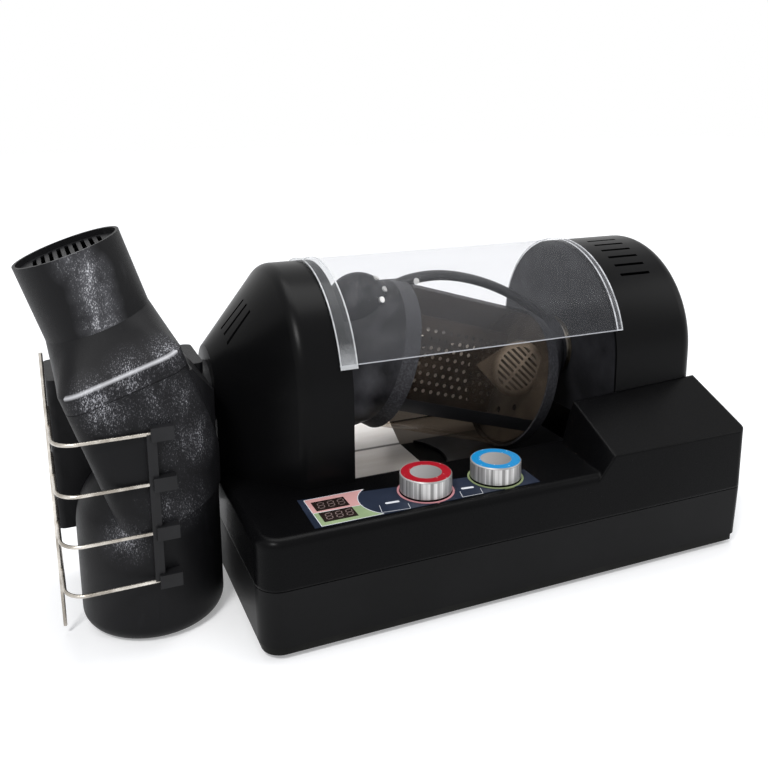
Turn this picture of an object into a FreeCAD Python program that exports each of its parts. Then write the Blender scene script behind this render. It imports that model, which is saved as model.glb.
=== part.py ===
import FreeCAD, Part
import math
import os
import Sketcher

# Table-top coffee roaster: a rounded base, two arched housings, a tilted glass
# chamber turning between them under a clear cover, and a chaff collector at the
# left. X runs along the machine, Y to the back, Z up. The names below are all in
# millimetres or degrees; shares and counts say so in their names. Heights are
# measured from the bottom of the base, and every piece is moved alike at the end.

SIZES = {
    # whole machine
    "foot_height": 4.0,
    "overrun": 1.0,
    "sheet_wall": 2.2,
    "running_gap": 0.05,
    "free_gap": 0.5,
    # base and tray
    "plate_height": 6.0,
    "plate_inset": 3.0,
    "corner_radius": 16.0,
    "right_corner_radius": 6.5,
    "tray_lean": 1.4,
    "seam_height": 45.3,
    "deck_height": 79.4,
    "deck_round": 6.0,
    "seam_gap": 0.6,
    "seam_depth": 0.9,
    "tray_floor": 2.5,
    "foot_radius": 9.0,
    "foot_inset": 32.0,
    "screw_head_radius": 3.0,
    "screw_head_height": 1.4,
    "screw_inset": 52.0,
    # sloped box at the front right
    "box_left_front": 246.5,
    "box_left_back": 256.3,
    "box_crest_front": 261.5,
    "box_crest_back": 267.0,
    "box_front_height": 91.6,
    "box_back_height": 112.5,
    "box_wall_height": 118.0,
    # housings
    "hood_centre_y": 145.1,
    "hood_centre_z": 138.7,
    "hood_radius": 84.2,
    "left_hood_end": 85.6,
    "left_hood_ridge": 50.0,
    "left_hood_face": 1.0,
    "left_face_radius": 33.0,
    "left_face_centre_z": 133.4,
    "ridge_round": 12.0,
    "right_hood_start": 307.0,
    "right_hood_length": 78.0,
    "right_hood_round": 12.0,
    "bulkhead_thickness": 2.0,
    "slot_width": 2.4,
    "slot_near": 12.5,
    "slot_far": 30.0,
    "slot_first_y": 120.0,
    "slot_step_y": 9.2,
    "slot_depth_z": 30.0,
    "left_slot_count": 3,
    "vent_start": 329.0,
    "vent_length": 29.0,
    "vent_width": 2.6,
    "vent_first_angle": 48.6,
    "vent_step_angle": 7.0,
    "vent_count": 6,
    "vent_cut_depth": 8.0,
    # bay under the chamber
    "bay_front": 66.0,
    "bay_back": 226.8,
    "bay_floor": 48.0,
    "bay_floor_thickness": 2.4,
    "rear_wall_top": 128.0,
    "rear_wall_thickness": 2.5,
    "rear_margin": 0.7,
    "plate_thickness": 0.8,
    "plate_left": 88.0,
    "plate_right": 172.0,
    "plate_fold_y": 178.0,
    "plate_rise_y": 208.0,
    "plate_rise_z": 64.0,
    "plate_end_y": 224.0,
    "plate_end_z": 100.0,
    "plate_front_y": 67.0,
    "liner_left": 173.0,
    "liner_right": 306.0,
    "liner_curve": 46.0,
    "liner_thickness": 2.6,
    "liner_back_y": 176.0,
    # chamber axis and tube
    "axis_y": 145.1,
    "axis_z": 132.5,
    "tube_x": 200.1,
    "tube_z": 126.8,
    "tube_tilt": 17.1,
    "glass_radius": 58.5,
    "glass_wall": 2.5,
    "glass_half": 63.5,
    "ring_radius": 60.3,
    "ring_half": 71.0,
    "ring_width": 11.5,
    "ring_end_radius": 57.1,
    "ring_lip": 4.0,
    "band_start_angle": -34.0,
    "band_sweep": 12.5,
    "band_thickness": 0.3,
    "band_half": 59.0,
    # caps
    "cap_wall": 2.4,
    "left_hub_x": 93.0,
    "left_hub_radius": 46.0,
    "left_hub_face": 3.0,
    "stub_radius": 30.0,
    "stub_wall": 2.0,
    "stub_start": 79.8,
    "lobe_x": 122.0,
    "lobe_z": 177.0,
    "lobe_length": 29.0,
    "lobe_width": 27.0,
    "lobe_height": 34.0,
    "right_hub_x": 297.0,
    "right_hub_radius": 27.0,
    "right_hub_face": 3.0,
    "hub_radius": 20.0,
    "hub_wall": 1.6,
    "hub_end": 332.0,
    # handle: height and place of its bends in the middle plane
    "bend_count": 9,
    "bend_1_x": 151.0,
    "bend_1_up": 196.0,
    "bend_1_angle": 66.0,
    "bend_2_x": 162.0,
    "bend_2_up": 200.6,
    "bend_2_angle": 76.0,
    "bend_3_x": 176.0,
    "bend_3_up": 202.9,
    "bend_3_angle": 85.0,
    "bend_4_x": 193.0,
    "bend_4_up": 202.9,
    "bend_4_angle": 94.0,
    "bend_5_x": 212.0,
    "bend_5_up": 199.8,
    "bend_5_angle": 104.0,
    "bend_6_x": 232.0,
    "bend_6_up": 193.8,
    "bend_6_angle": 111.0,
    "bend_7_x": 253.0,
    "bend_7_up": 184.6,
    "bend_7_angle": 118.0,
    "bend_8_x": 274.5,
    "bend_8_up": 172.0,
    "bend_8_angle": 125.0,
    "bend_9_x": 291.0,
    "bend_9_up": 158.8,
    "bend_9_angle": 129.5,
    "handle_width": 8.0,
    "handle_thickness": 4.0,
    "chamber_screw_radius": 2.4,
    "chamber_screw_height": 1.6,
    "lobe_screw_count": 3,
    "lobe_screw_1_x": 134.26,
    "lobe_screw_1_y": 138.14,
    "lobe_screw_1_up": 206.04,
    "lobe_screw_2_x": 137.83,
    "lobe_screw_2_y": 131.11,
    "lobe_screw_2_up": 198.62,
    "lobe_screw_3_x": 132.2,
    "lobe_screw_3_y": 123.1,
    "lobe_screw_3_up": 192.8,
    "handle_screw_x": 168.5,
    "handle_screw_y": 138.6,
    "handle_screw_up": 201.6,
    # inside of the chamber
    "baffle_thickness": 0.8,
    "baffle_left": -58.5,
    "baffle_right": 51.0,
    "baffle_half_height": 36.0,
    "hole_radius": 1.9,
    "hole_pitch": 7.3,
    "hole_columns": 14,
    "hole_rows": 8,
    "grille_depth": 38.0,
    "grille_x": 42.5,
    "grille_up": 14.5,
    "grille_plate_radius": 23.5,
    "grille_corner_x": 3.6,
    "grille_corner_up": 11.0,
    "grille_high_x": 26.75,
    "grille_high_up": 31.9,
    "grille_low_x": 30.1,
    "grille_low_up": -5.5,
    "grille_radius": 18.5,
    "grille_slots": 9,
    "grille_slot_width": 2.2,
    "grille_slot_pitch": 4.2,
    "grille_slot_angle": 28.0,
    "grille_bar_width": 2.4,
    "screen_radius": 55.9,
    "screen_thickness": 1.0,
    "screen_hole_radius": 3.0,
    "screen_circle": 30.0,
    "screen_hole_count": 8,
    "right_disc_place": 62.0,
    # bearings and drive
    "bearing_radius": 34.0,
    "bearing_length": 7.0,
    "right_bearing_radius": 24.0,
    "gear_x": 316.0,
    "gear_width": 8.0,
    "gear_radius": 36.0,
    "gear_teeth": 40,
    "pinion_radius": 9.0,
    "pinion_teeth": 10,
    "tooth_tip": 1.3,
    "tooth_root": 1.9,
    "tooth_root_half": 1.4,
    "tooth_tip_half": 0.55,
    "motor_radius": 22.0,
    "motor_start": 328.0,
    "motor_length": 24.0,
    "motor_shaft_radius": 3.0,
    "post_radius": 2.5,
    "post_spread": 17.0,
    # hot air
    "heater_radius": 21.0,
    "heater_wall": 1.2,
    "heater_start": 333.0,
    "heater_end": 376.0,
    "core_thickness": 1.0,
    "core_start": 336.0,
    "core_length": 18.0,
    "coil_radius": 13.0,
    "coil_wire": 0.9,
    "coil_pitch": 4.4,
    "coil_count": 4,
    "duct_x": 363.0,
    "duct_y": 150.0,
    "duct_radius": 11.0,
    "duct_wall": 1.2,
    "blower_x": 333.0,
    "blower_y": 135.0,
    "blower_radius": 45.0,
    "blower_wall": 1.6,
    "blower_bottom": 8.5,
    "blower_top": 42.0,
    "blower_eye": 16.0,
    "impeller_radius": 32.0,
    "impeller_bottom": 12.5,
    "impeller_height": 22.0,
    "impeller_blades": 10,
    "impeller_disc": 2.0,
    "impeller_hub": 6.0,
    "blade_thickness": 1.4,
    "fan_motor_radius": 15.0,
    "fan_motor_height": 20.0,
    "fan_shaft_radius": 2.0,
    # outlet duct to the collector
    "outlet_cone_end": 34.0,
    "outlet_radius": 30.0,
    "spout_radius": 22.6,
    "spout_end": -7.5,
    # clear cover
    "cover_left": 76.7,
    "cover_right": 312.9,
    "cover_inner": 84.7,
    "cover_outer": 85.8,
    "rim_outer": 86.3,
    "cover_sweep": 163.0,
    "rim_sweep": 164.6,
    "left_rim_width": 12.8,
    "right_rim_width": 5.5,
    "hinge_y": 227.9,
    "hinge_z": 133.0,
    "knuckle_radius": 3.2,
    "pin_radius": 1.5,
    "hinge_first_x": 112.0,
    "hinge_second_x": 264.0,
    "knuckle_length": 20.0,
    "bracket_width": 6.0,
    "arm_rise": 12.0,
    # control panel
    "knob_left_x": 124.3,
    "knob_right_x": 179.0,
    "knob_y": 27.5,
    "knob_radius": 17.95,
    "knob_height": 12.4,
    "knob_lift": 2.0,
    "knob_wall": 1.6,
    "knob_disc_radius": 11.0,
    "knob_ring_radius": 17.2,
    "knob_top_step": 0.6,
    "knob_round": 0.6,
    "mark_inner": 18.3,
    "mark_outer": 19.8,
    "mark_height": 0.8,
    "label_thickness": 0.5,
    "label_near_left_x": 37.8,
    "label_near_left_y": 7.2,
    "label_near_right_x": 203.7,
    "label_near_right_y": 8.2,
    "label_far_right_x": 204.2,
    "label_far_right_y": 29.8,
    "label_far_left_x": 39.0,
    "label_far_left_y": 48.6,
    "shaft_radius": 3.0,
    "shaft_bottom": 66.0,
    "encoder_half": 6.5,
    "encoder_height": 9.0,
    "board_left": 38.0,
    "board_right": 205.0,
    "board_front": 9.0,
    "board_back": 58.0,
    "board_bottom": 60.0,
    "board_thickness": 1.6,
    "board_post_radius": 2.5,
    "window_left": 46.0,
    "window_width": 23.0,
    "window_low_y": 12.0,
    "window_high_y": 28.0,
    "window_depth": 13.0,
    "window_rise": 0.3,
    "gland_x": 330.0,
    "gland_z": 25.0,
    "gland_radius": 7.0,
    "gland_length": 8.0,
    # chaff collector
    "cup_x": -51.0,
    "cup_y": 100.0,
    "cup_radius": 47.5,
    "cup_bottom": -3.6,
    "cup_round": 10.0,
    "cup_top": 66.0,
    "cup_wall": 2.2,
    "seam_x": -54.5,
    "cup_shoulder_x": -24.0,
    "cup_shoulder_z": 177.0,
    "cup_corner_z": 148.0,
    "lean": 18.0,
    "joint_x": -62.9,
    "joint_z": 168.4,
    "joint_half": 39.0,
    "joint_depth_half": 49.0,
    "joint_round": 14.0,
    "duct_drop": 92.0,
    "flank_round": 40.0,
    "shoulder_rise": 12.0,
    "neck_start": 39.0,
    "neck_end": 89.0,
    "neck_radius": 33.75,
    "neck_wall": 2.0,
    "neck_screen_depth": 5.0,
    "neck_screen_thickness": 1.2,
    "neck_screen_slot": 2.6,
    "neck_screen_pitch": 5.2,
    "neck_screen_slots": 9,
    "cap_joint_gap": 0.4,
    "inlet_left": -109.0,
    "inlet_right": -4.0,
    "inlet_front": 125.0,
    "inlet_back": 178.0,
    "inlet_bottom": 53.0,
    "inlet_top": 160.0,
    "inlet_round": 5.0,
    "inlet_wall": 2.0,
    "gasket_inner": 23.1,
    "gasket_outer": 26.0,
    "gasket_length": 5.0,
    # guard of steel wire
    "wire_radius": 1.2,
    "wire_front_x": -46.0,
    "wire_front_y": 48.6,
    "wire_outer_x": -109.5,
    "wire_bend": 14.0,
    "wire_back_y": 125.0,
    "wire_first_z": 43.0,
    "wire_step_z": 33.0,
    "wire_count": 4,
    "stay_y": 88.0,
    "stay_bottom": 2.5,
    "stay_top": 190.0,
    "clip_width": 14.0,
    "clip_depth": 7.0,
    "clip_height": 9.0,
    "strip_width": 6.0,
    "strip_thickness": 2.4,
}


def sized(value):
    """Gives a plain number the same form as a named size."""
    if isinstance(value, Size):
        return value
    return Size(float(value), repr(value))


class Size:
    """A size with its value and the words that the document keeps it by."""

    def __init__(self, value, words):
        self.value = value
        self.words = words

    def __add__(self, other):
        other = sized(other)
        return Size(self.value + other.value, "(%s + %s)" % (self.words, other.words))

    def __sub__(self, other):
        other = sized(other)
        return Size(self.value - other.value, "(%s - %s)" % (self.words, other.words))

    def __mul__(self, other):
        other = sized(other)
        return Size(self.value * other.value, "(%s * %s)" % (self.words, other.words))

    def __truediv__(self, other):
        other = sized(other)
        return Size(self.value / other.value, "(%s / %s)" % (self.words, other.words))

    def __neg__(self):
        return Size(-self.value, "(0 - %s)" % self.words)


class Sheet:
    """The sheet of named sizes, read by name."""

    def __init__(self, document, sizes):
        self.cells = document.addObject("Spreadsheet::Sheet", "Sizes")
        self.sizes = sizes
        for row, name in enumerate(sizes, start=1):
            self.cells.set("A%d" % row, name)
            self.cells.set("B%d" % row, str(sizes[name]))
            self.cells.setAlias("B%d" % row, name)

    def __getattr__(self, name):
        return Size(self.sizes[name], "Sizes." + name)


doc = FreeCAD.newDocument("CoffeeRoaster")
z = Sheet(doc, SIZES)
doc.recompute()

ZERO = Size(0.0, "0")
TINY = 1e-3
TURN_TO_X = FreeCAD.Rotation(FreeCAD.Vector(1, 1, 1), 120)
TURN_TO_Y = FreeCAD.Rotation(FreeCAD.Vector(1, 0, 0), -90)
TURNS = {"x": TURN_TO_X, "y": TURN_TO_Y, "z": FreeCAD.Rotation()}


def sine(angle):
    """The sine of an angle given in degrees."""
    return Size(math.sin(math.radians(angle.value)), "sin(%s)" % angle.words)


def cosine(angle):
    """The cosine of an angle given in degrees."""
    return Size(math.cos(math.radians(angle.value)), "cos(%s)" % angle.words)


def body_length():
    """The length of the base from its left end to the right end of the right housing."""
    return z.right_hood_start + z.right_hood_length


def body_depth():
    """The depth of the base, to just behind the rear wall of the bay."""
    return z.bay_back + z.rear_wall_thickness + z.rear_margin


def middle_x():
    """The middle of the whole object along X: from the leaning neck to the right end."""
    reach = neck_reach()
    return (body_length() + reach) / 2


def neck_reach():
    """The leftmost point of the leaning neck."""
    along = z.joint_x - z.neck_end * sine(z.lean)
    return along - z.neck_radius * cosine(z.lean)


def machine(place):
    """Moves a place from the machine's own corner to the middle of its footprint."""
    x, y, up = place
    return (x - middle_x(), y - (z.hood_centre_y + z.rim_outer) / 2, up + z.foot_height)


def local(place):
    """Leaves a place as it is, for pieces drawn about their own middle."""
    return place


def bind(obj, prop, size):
    """Ties one property to a named size."""
    obj.setExpression(prop, sized(size).words)


def stand(obj, place, home=machine, turn=None, axis=None, angle=None):
    """Stands an object at a place, turned about one axis by a named angle."""
    if axis is not None:
        obj.Placement = FreeCAD.Placement(FreeCAD.Vector(), FreeCAD.Rotation(axis, sized(angle).value))
        bind(obj, "Placement.Rotation.Angle", angle)
    elif turn is not None:
        obj.Placement = FreeCAD.Placement(FreeCAD.Vector(), TURNS[turn])
    for word, size in zip("xyz", home(tuple(sized(part) for part in place))):
        bind(obj, "Placement.Base." + word, size)
    return obj


def box(name, low, high, home=machine):
    """A block between two corners."""
    obj = doc.addObject("Part::Box", name)
    for prop, first, last in zip(("Length", "Width", "Height"), low, high):
        bind(obj, prop, sized(last) - sized(first))
    return stand(obj, low, home)


def rod(name, place, radius, length, way="z", home=machine):
    """A round bar from a place along one axis."""
    obj = doc.addObject("Part::Cylinder", name)
    bind(obj, "Radius", radius)
    bind(obj, "Height", length)
    return stand(obj, place, home, turn=way)


def cone(name, place, first, last, length, way="z", home=machine):
    """A round bar whose radius changes along its length."""
    obj = doc.addObject("Part::Cone", name)
    bind(obj, "Radius1", first)
    bind(obj, "Radius2", last)
    bind(obj, "Height", length)
    return stand(obj, place, home, turn=way)


def cut(name, base, *tools):
    """A base with the tools taken out of it."""
    obj = doc.addObject("Part::Cut", name)
    obj.Base = base
    obj.Tool = tools[0] if len(tools) == 1 else group(name + "_tools", *tools)
    return obj


def fuse(name, *shapes):
    """Shapes joined to one."""
    obj = doc.addObject("Part::MultiFuse", name)
    obj.Shapes = list(shapes)
    obj.Refine = True
    return obj


def shared(name, *shapes):
    """What the shapes have in common."""
    obj = doc.addObject("Part::MultiCommon", name)
    obj.Shapes = list(shapes)
    return obj


def group(name, *shapes):
    """Several pieces kept side by side."""
    obj = doc.addObject("Part::Compound", name)
    obj.Links = list(shapes)
    return obj


def pipe(name, place, inner, outer, length, way="z", home=machine):
    """A round tube from a place along one axis."""
    whole = rod(name + "_outside", place, outer, length, way, home)
    shift = {"x": 0, "y": 1, "z": 2}[way]
    start = [sized(part) for part in place]
    start[shift] = start[shift] - z.overrun
    bore = rod(name + "_bore", start, inner, length + z.overrun * 2, way, home)
    return cut(name, whole, bore)


def new_body(name):
    """An empty body that is moved with the machine."""
    body = doc.addObject("PartDesign::Body", name)
    return body


def plane(body, role):
    """One of the body's own origin planes."""
    return [part for part in body.Origin.OriginFeatures if part.Role == role][0]


def flat_sketch(body, name, role, offset):
    """An empty sketch on an origin plane, moved out along its normal."""
    sketch = body.newObject("Sketcher::SketchObject", name)
    sketch.AttachmentSupport = [(plane(body, role), "")]
    sketch.MapMode = "FlatFace"
    bind(sketch, "AttachmentOffset.Base.z", offset)
    return sketch


def pin_point(sketch, line, end, point):
    """Holds one end of a line at a place given by two sizes."""
    for kind, size in zip(("DistanceX", "DistanceY"), point):
        size = sized(size)
        rule = Sketcher.Constraint(kind, -1, 1, line, end, size.value)
        bind(sketch, "Constraints[%d]" % sketch.addConstraint(rule), size)


def outline(body, name, role, offset, points):
    """A closed outline through the given points."""
    sketch = flat_sketch(body, name, role, offset)
    spots = [FreeCAD.Vector(sized(a).value, sized(b).value, 0) for a, b in points]
    count = len(spots)
    for i in range(count):
        sketch.addGeometry(Part.LineSegment(spots[i], spots[(i + 1) % count]))
    for i in range(count):
        sketch.addConstraint(Sketcher.Constraint("Coincident", i, 2, (i + 1) % count, 1))
    for i in range(count):
        pin_point(sketch, i, 1, points[i])
    return sketch


def arch(body, name, offset, half, middle_z, foot):
    """An arched outline across the machine: upright sides under a half circle."""
    sketch = flat_sketch(body, name, "YZ_Plane", offset)
    near, far = z.hood_centre_y - half, z.hood_centre_y + half
    corners = [(near, foot), (near, middle_z), (far, middle_z), (far, foot)]
    spots = [FreeCAD.Vector(a.value, b.value, 0) for a, b in corners]
    centre = FreeCAD.Vector(z.hood_centre_y.value, middle_z.value, 0)
    circle = Part.Circle(centre, FreeCAD.Vector(0, 0, 1), half.value)
    sketch.addGeometry(Part.LineSegment(spots[0], spots[1]))
    sketch.addGeometry(Part.ArcOfCircle(circle, 0, math.pi))
    sketch.addGeometry(Part.LineSegment(spots[2], spots[3]))
    sketch.addGeometry(Part.LineSegment(spots[3], spots[0]))
    for first, end, second, start in ((0, 2, 1, 2), (1, 1, 2, 1), (2, 2, 3, 1), (3, 2, 0, 1)):
        sketch.addConstraint(Sketcher.Constraint("Coincident", first, end, second, start))
    for line, corner in ((0, 0), (2, 2)):
        pin_point(sketch, line, 1, corners[corner])
        pin_point(sketch, line, 2, corners[corner + 1])
    rule = Sketcher.Constraint("DistanceY", -1, 1, 1, 3, middle_z.value)
    bind(sketch, "Constraints[%d]" % sketch.addConstraint(rule), middle_z)
    return sketch


def pad(body, sketch, length, taper=None):
    """A solid raised from a sketch."""
    feature = body.newObject("PartDesign::Pad", sketch.Name + "_pad")
    feature.Profile = sketch
    bind(feature, "Length", length)
    if taper is not None:
        bind(feature, "TaperAngle", taper)
    return feature


def soften(body, pick, radius):
    """Rounds the edges of the body that the pick accepts."""
    doc.recompute()
    tip = body.Tip
    names = ["Edge%d" % (i + 1) for i, edge in enumerate(tip.Shape.Edges) if pick(edge)]
    feature = body.newObject("PartDesign::Fillet", body.Name + "_round")
    feature.Base = (tip, names)
    bind(feature, "Radius", radius)
    doc.recompute()
    return feature


def prism(name, role, points, start, length, home=machine):
    """A solid with a straight-sided outline."""
    body = new_body(name)
    pad(body, outline(body, name + "_outline", role, start, points), length)
    return stand(body, (ZERO, ZERO, ZERO), home)


def loft(name, *sections):
    """A skin stretched over closed sections."""
    obj = doc.addObject("Part::Loft", name)
    obj.Sections = list(sections)
    obj.Solid = True
    obj.Ruled = True
    return obj


def ring_line(name, place, radius, angle, home=machine):
    """A circle whose normal leans from up toward the right by an angle."""
    obj = doc.addObject("Part::Circle", name)
    bind(obj, "Radius", radius)
    return stand(obj, place, home, axis=FreeCAD.Vector(0, 1, 0), angle=angle)


def oval_line(name, place, wide, thick, angle, home=machine):
    """An ellipse with its long way along Y, leaning from up toward the right."""
    obj = doc.addObject("Part::Ellipse", name)
    bind(obj, "MajorRadius", wide)
    bind(obj, "MinorRadius", thick)
    lean = FreeCAD.Rotation(FreeCAD.Vector(0, 1, 0), angle)
    long_way = FreeCAD.Rotation(FreeCAD.Vector(0, 0, 1), 90)
    obj.Placement = FreeCAD.Placement(FreeCAD.Vector(), lean.multiply(long_way))
    for word, size in zip("xyz", home(tuple(sized(part) for part in place))):
        bind(obj, "Placement.Base." + word, size)
    return obj


def upright(edge):
    """True for an edge that runs mostly up."""
    ends = [vertex.Point for vertex in edge.Vertexes]
    return len(ends) == 2 and abs(ends[0].z - ends[1].z) > abs(ends[0].x - ends[1].x) + abs(
        ends[0].y - ends[1].y
    )


def at_height(height):
    """A pick for edges that lie at one height."""
    level = height.value

    def pick(edge):
        return all(abs(vertex.Z - level) < TINY for vertex in edge.Vertexes)

    return pick


def rectangle(x_low, x_high, y_low, y_high):
    """The four corners of a rectangle."""
    return [(x_low, y_low), (x_high, y_low), (x_high, y_high), (x_low, y_high)]


def round_corners(body, inset):
    """Rounds the upright edges: the left ones wider than the right ones."""
    middle = body_length().value / 2
    soften(body, lambda edge: upright(edge) and edge.BoundBox.Center.x < middle,
           z.corner_radius - inset)
    soften(body, lambda edge: upright(edge) and edge.BoundBox.Center.x > middle,
           z.right_corner_radius - inset)


def rounded_block(name, inset, low, high):
    """A block with the footprint of the machine and rounded corners, shrunk by an inset."""
    body = new_body(name)
    corners = rectangle(ZERO + inset, body_length() - inset, ZERO + inset, body_depth() - inset)
    pad(body, outline(body, name + "_outline", "XY_Plane", low, corners), high - low)
    round_corners(body, inset)
    return stand(body, (ZERO, ZERO, ZERO))


def seam_ring(name):
    """The shallow groove that shows as the seam between the tray and the upper casing."""
    low, high = z.seam_height - z.seam_gap / 2, z.seam_height + z.seam_gap / 2
    return cut(name, rounded_block(name + "_around", -z.overrun, low, high),
               rounded_block(name + "_core", z.seam_depth, low - z.overrun, high + z.overrun))


NODES = {}


def node(label, obj):
    """Names a finished piece."""
    obj.Label = label
    NODES[label] = obj
    return obj


def four_places(inset_x, inset_y):
    """Four places near the corners of the base."""
    far_x, far_y = body_length() - inset_x, body_depth() - inset_y
    return [(inset_x, inset_y), (far_x, inset_y), (inset_x, far_y), (far_x, far_y)]


def make_base():
    """The base plate with its feet and screws, and the tray above it."""
    node("base_plate", rounded_block("base_plate", z.plate_inset, ZERO, z.plate_height))
    feet = [rod("foot", (x, y, -z.foot_height), z.foot_radius, z.foot_height)
            for x, y in four_places(z.foot_inset, z.foot_inset)]
    node("feet", group("feet", *feet))
    heads = [rod("base_screw", (x, y, -z.screw_head_height), z.screw_head_radius, z.screw_head_height)
             for x, y in four_places(z.screw_inset, z.screw_inset)]
    node("casing_screws", group("casing_screws", *heads))
    outside = tray_block("tray_outside", ZERO, z.plate_height)
    inside = tray_block("tray_inside", z.sheet_wall, z.plate_height + z.tray_floor)
    eye = rod("tray_eye", (z.blower_x, z.blower_y, z.plate_height - z.overrun), z.blower_eye,
              z.tray_floor + z.overrun * 2)
    gland = rod("tray_gland_hole", (z.gland_x, body_depth() - z.gland_length, z.gland_z),
                z.gland_radius, z.gland_length + z.overrun, "y")
    node("base_tray", cut("base_tray", outside, inside, eye, gland, seam_ring("tray_seam")))


def tray_block(name, inset, low):
    """A block that leans in toward its bottom, as wide at the seam as the machine."""
    body = new_body(name)
    high = z.seam_height
    corners = rectangle(ZERO + inset, body_length() - inset, ZERO + inset, body_depth() - inset)
    sketch = outline(body, name + "_outline", "XY_Plane", high, corners)
    feature = pad(body, sketch, high - low, -z.tray_lean)
    feature.Reversed = True
    round_corners(body, inset)
    return stand(body, (ZERO, ZERO, ZERO))


def deck_solid(name):
    """The deck of the upper casing as a solid with its rounded edge."""
    block = rounded_block(name, ZERO, z.seam_height, z.deck_height)
    soften(block, at_height(z.deck_height), z.deck_round)
    return block


def sloped_box(name):
    """The box at the front right of the deck, rising to the right housing."""
    body = new_body(name)
    low = z.deck_height - z.deck_round
    front = [(z.box_left_front, low), (z.box_crest_front, z.box_front_height),
             (body_length(), z.box_front_height), (body_length(), low)]
    back = [(z.box_left_back, low), (z.box_crest_back, z.box_back_height),
            (body_length(), z.box_wall_height), (body_length(), low)]
    near = outline(body, name + "_front", "XZ_Plane", ZERO, front)
    far = outline(body, name + "_back", "XZ_Plane", z.hood_radius - z.hood_centre_y, back)
    feature = body.newObject("PartDesign::AdditiveLoft", name + "_loft")
    feature.Profile = near
    feature.Sections = [far]
    feature.Ruled = True
    stand(body, (ZERO, ZERO, ZERO))
    top = rounded_block(name + "_bounds", ZERO, z.seam_height, z.box_wall_height + z.overrun)
    return shared(name + "_trimmed", body, top)


def trough_block(name):
    """The walls of the bay as a solid block, up to the deck."""
    return box(name, (z.left_hood_end - z.sheet_wall, z.bay_front - z.sheet_wall,
                      z.bay_floor - z.bay_floor_thickness),
               (z.right_hood_start + z.sheet_wall, z.bay_back + z.rear_wall_thickness, z.deck_height))


def make_upper_casing():
    """The upper casing: deck, sloped box, bay for the chamber and its rear wall."""
    block = deck_solid("deck_block")
    inside = rounded_block("deck_inside", z.sheet_wall, z.seam_height - z.overrun,
                           z.deck_height - z.sheet_wall)
    soften(inside, at_height(z.deck_height - z.sheet_wall), z.deck_round - z.sheet_wall)
    floor = z.bay_floor - z.bay_floor_thickness
    trough = trough_block("bay_block")
    wall = box("bay_rear_wall", (z.left_hood_end, z.bay_back, floor),
               (z.right_hood_start, z.bay_back + z.rear_wall_thickness, z.rear_wall_top))
    bay = box("bay_space", (z.left_hood_end, z.bay_front, z.bay_floor),
              (z.right_hood_start, z.bay_back, z.deck_height * 2))
    shafts = [rod("shaft_hole", (x, z.knob_y, z.deck_height - z.sheet_wall - z.overrun),
                  z.shaft_radius + z.free_gap, z.sheet_wall + z.overrun * 2)
              for x in (z.knob_left_x, z.knob_right_x)]
    duct = rod("deck_duct_hole", (z.duct_x, z.duct_y, z.deck_height - z.sheet_wall - z.overrun),
               z.duct_radius, z.sheet_wall + z.overrun * 2)
    shell = cut("deck_shell", block, inside)
    whole = fuse("deck_whole", shell, trough, wall, sloped_box("slope"))
    node("upper_casing", cut("upper_casing", whole, bay, duct, seam_ring("casing_seam"), *shafts))


def left_hood_body(name, inset, end):
    """The left housing as a solid, shrunk by an inset."""
    body = new_body(name)
    foot = z.deck_height - z.deck_round
    first = arch(body, name + "_face", z.left_hood_face + inset, z.left_face_radius - inset,
                 z.left_face_centre_z, foot)
    ridge = arch(body, name + "_ridge", z.left_hood_ridge + inset, z.hood_radius - inset,
                 z.hood_centre_z, foot)
    skin = body.newObject("PartDesign::AdditiveLoft", name + "_skin")
    skin.Profile = first
    skin.Sections = [ridge]
    skin.Ruled = True
    rest = arch(body, name + "_rest", z.left_hood_ridge + inset, z.hood_radius - inset,
                z.hood_centre_z, foot)
    pad(body, rest, end - z.left_hood_ridge - inset)
    return body


def at_ridge(edge):
    """A pick for the arched edge and the two upright edges at the left ridge."""
    middle = edge.BoundBox.Center.x
    flat = edge.BoundBox.XLength < TINY
    return flat and abs(middle - z.left_hood_ridge.value) < TINY and edge.BoundBox.ZLength > TINY


def make_left_housing():
    """The left housing with its tapered side and slots."""
    outside = left_hood_body("left_hood_outside", ZERO, z.left_hood_end)
    soften(outside, at_ridge, z.ridge_round)
    stand(outside, (ZERO, ZERO, ZERO))
    inside = left_hood_body("left_hood_inside", z.sheet_wall, z.left_hood_end + z.overrun)
    stand(inside, (ZERO, ZERO, ZERO))
    hole = rod("left_spout_hole", (ZERO - z.overrun, z.axis_y, z.axis_z), z.spout_radius,
               z.slot_near, "x")
    slots = []
    for i in range(SIZES["left_slot_count"]):
        side = z.slot_first_y + z.slot_step_y * i
        slots.append(box("left_slot", (z.slot_near, side, z.left_face_centre_z + z.slot_depth_z),
                         (z.slot_far, side + z.slot_width, z.hood_centre_z + z.hood_radius)))
    node("left_housing", cut("left_housing", outside, inside, hole, deck_solid("left_deck"),
                             trough_block("left_trough"), *slots))
    panel = new_body("left_bulkhead_panel")
    pad(panel, arch(panel, "left_bulkhead_arch", z.left_hood_end - z.bulkhead_thickness,
                    z.hood_radius - z.sheet_wall, z.hood_centre_z, z.deck_height),
        z.bulkhead_thickness)
    stand(panel, (ZERO, ZERO, ZERO))
    bore = rod("left_bulkhead_bore", (outlet_start(), z.axis_y, z.axis_z), z.bearing_radius,
               z.left_hub_x - outlet_start(), "x")
    bearing = pipe("left_bearing", (outlet_start(), z.axis_y, z.axis_z),
                   z.stub_radius + z.running_gap, z.bearing_radius, z.bearing_length, "x")
    return cut("left_bulkhead", panel, bore), bearing


def at_right_end(edge):
    """A pick for the arched edge and the two upright edges at the right end."""
    flat = edge.BoundBox.XLength < TINY
    return flat and abs(edge.BoundBox.Center.x - body_length().value) < TINY and edge.BoundBox.ZLength > TINY


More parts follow.
